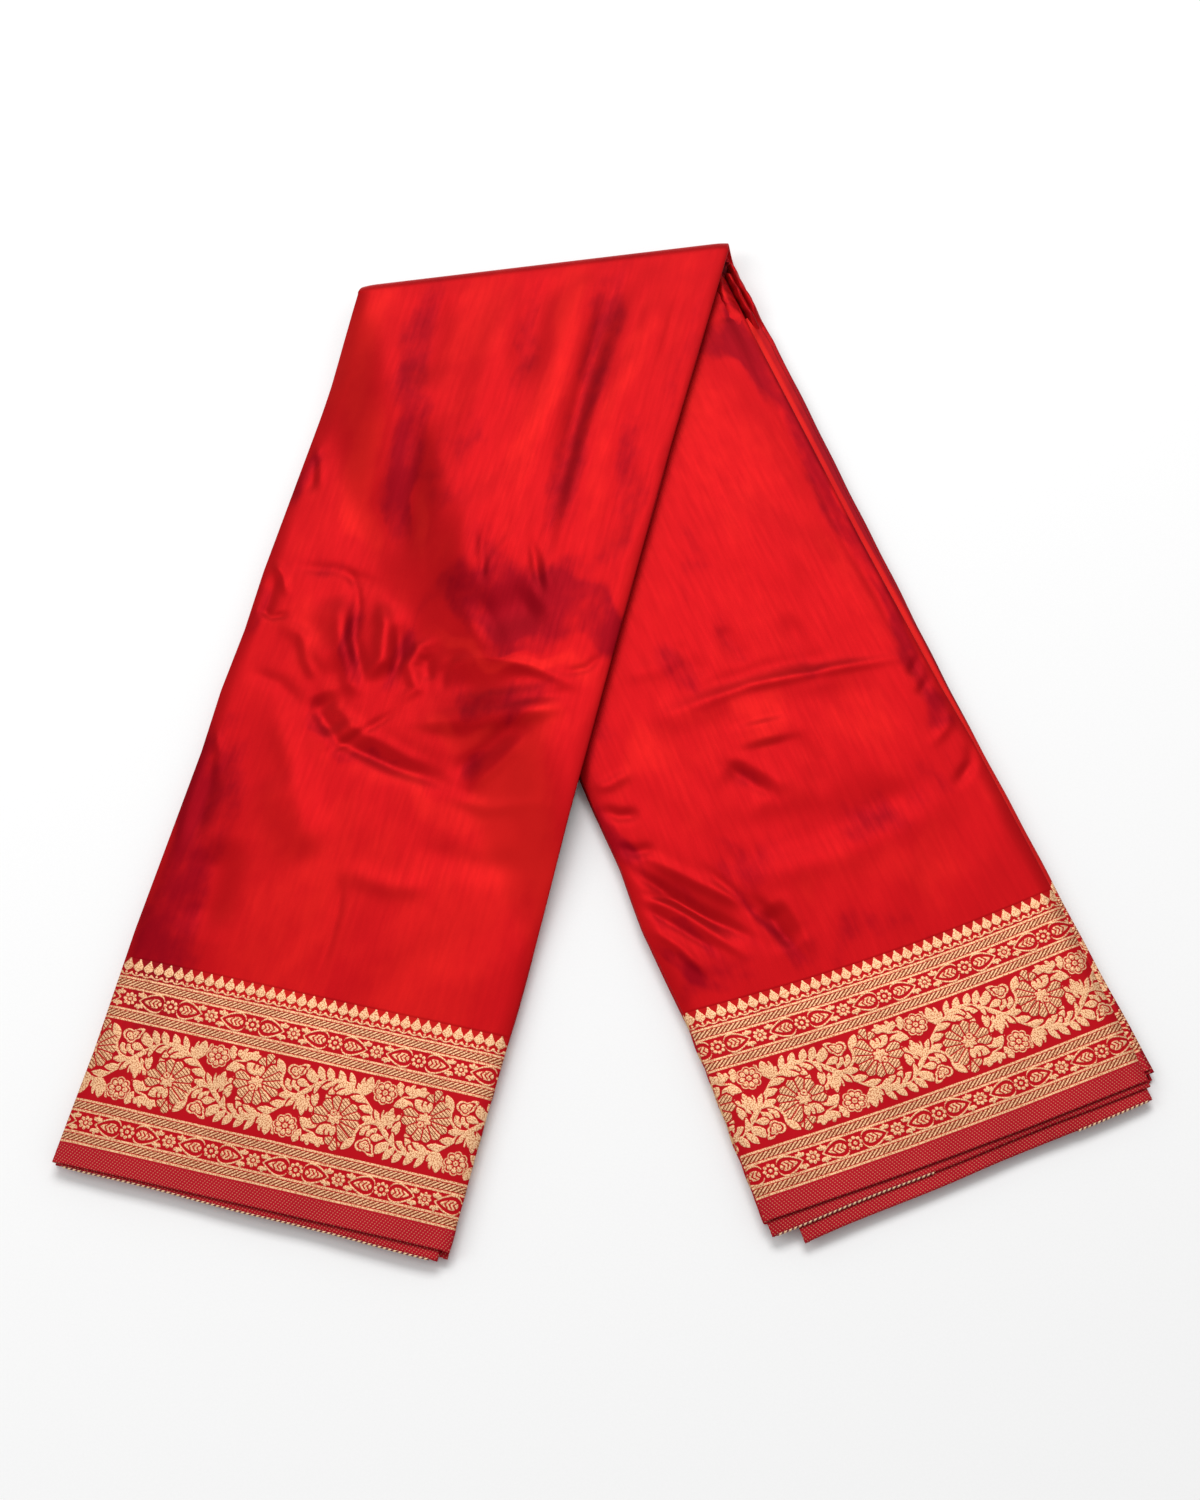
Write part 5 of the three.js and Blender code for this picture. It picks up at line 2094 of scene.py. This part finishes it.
@dataclass
class Studio:
    """A plain pale floor, soft light and the camera that looks down at the saree."""

    floor_size: float = 8.0
    floor_lines: int = 9
    floor_drop: float = 0.12
    world_light: float = 0.50
    lens: float = 55.2
    sensor: float = 36.0
    camera_at: Point = (0.01551, -0.58162, 1.0533)
    camera_pitch: float = math.radians(27.915)
    camera_roll: float = math.radians(-5.571)
    softboxes: tuple[Softbox, ...] = (
        Softbox("far_softbox", at=(0.15, 1.5, 2.3), size=(1.8, 1.2), power=42.0),
        Softbox("left_softbox", at=(-1.9, 0.1, 1.9), size=(1.4, 1.4), power=12.0),
    )

    def floor(self) -> None:
        """Lays the floor."""
        edge = np.linspace(-self.floor_size / 2, self.floor_size / 2, self.floor_lines) / MM
        x, y = np.meshgrid(edge, -edge)
        mesh = bpy.data.meshes.new("studio_floor")
        points = np.stack([x, y, 0.0 * x - self.floor_drop], axis=-1).reshape(-1, 3) * MM
        quads = np.stack(grid_quads(self.floor_lines, self.floor_lines), axis=-1)
        mesh.from_pydata(points.tolist(), [], quads.reshape(-1, 4).tolist())
        mesh.materials.append(FloorPaper("floor_paper").material())
        floor = bpy.data.objects.new("studio_floor", mesh)
        bpy.context.scene.collection.objects.link(floor)

    def lights(self) -> None:
        """Sets the softboxes round the saree and the pale world beyond them."""
        for box in self.softboxes:
            data = bpy.data.lights.new(box.name, "AREA")
            data.shape = "RECTANGLE"
            data.size, data.size_y = box.size
            data.energy = box.power
            light = bpy.data.objects.new(box.name, data)
            light.location = box.at
            light.rotation_euler = (-Vector(box.at)).to_track_quat("-Z", "Y").to_euler()
            bpy.context.scene.collection.objects.link(light)
        world = bpy.data.worlds.new("studio_world")
        world.use_nodes = True
        background = world.node_tree.nodes["Background"]
        background.inputs["Color"].default_value = (1.0, 1.0, 1.0, 1.0)
        background.inputs["Strength"].default_value = self.world_light
        bpy.context.scene.world = world
        bpy.context.scene.view_settings.view_transform = "Standard"

    def camera(self) -> None:
        """Stands the camera over the near side of the saree, looking down at it."""
        data = bpy.data.cameras.new("camera")
        data.lens = self.lens
        data.sensor_width = self.sensor
        data.sensor_fit = "AUTO"
        data.clip_start, data.clip_end = 0.01, 50.0
        pitch, roll = self.camera_pitch, self.camera_roll
        forward = Vector((0.0, math.sin(pitch), -math.cos(pitch)))
        level, lean = Vector((1.0, 0.0, 0.0)), Vector((0.0, math.cos(pitch), math.sin(pitch)))
        right = math.cos(roll) * level + math.sin(roll) * lean
        up = -math.sin(roll) * level + math.cos(roll) * lean
        camera = bpy.data.objects.new("camera", data)
        turn = Matrix((right, up, -forward)).transposed().to_4x4()
        camera.matrix_world = Matrix.Translation(self.camera_at) @ turn
        bpy.context.scene.collection.objects.link(camera)
        bpy.context.scene.camera = camera

    def build(self) -> None:
        """Sets up the whole studio."""
        self.floor()
        self.lights()
        self.camera()
        log.info("studio: %d softboxes", len(self.softboxes))


def main() -> None:
    """Builds the saree and its studio."""
    logging.basicConfig(level=logging.INFO, format="%(message)s")
    Studio().build()
    silk = SilkSatin("red_silk_satin").material()
    zari = ZariCloth("zari_cloth", SilkSatin("border_silk")).material()
    edges = FoldedEdges("folded_silk_edges").material()
    threads = TwistedThreads("selvedge_threads").material()
    for leg, phase, hem_sheets in (
        (STACK.right, RIGHT_PHASE, RIGHT_HEM_SHEETS),
        (STACK.left, LEFT_PHASE, LEFT_HEM_SHEETS),
    ):
        sheets = FaceSheets(leg, phase, silk, zari)
        sheets.field()
        sheets.border()
        InnerLayers(leg, phase, edges).build()
        HemLayers(leg, phase, hem_sheets, zari, threads).build()
    FannedSideFolds(zari).build()
    FoldGathers(silk).build()


if __name__ == "__main__":
    main()
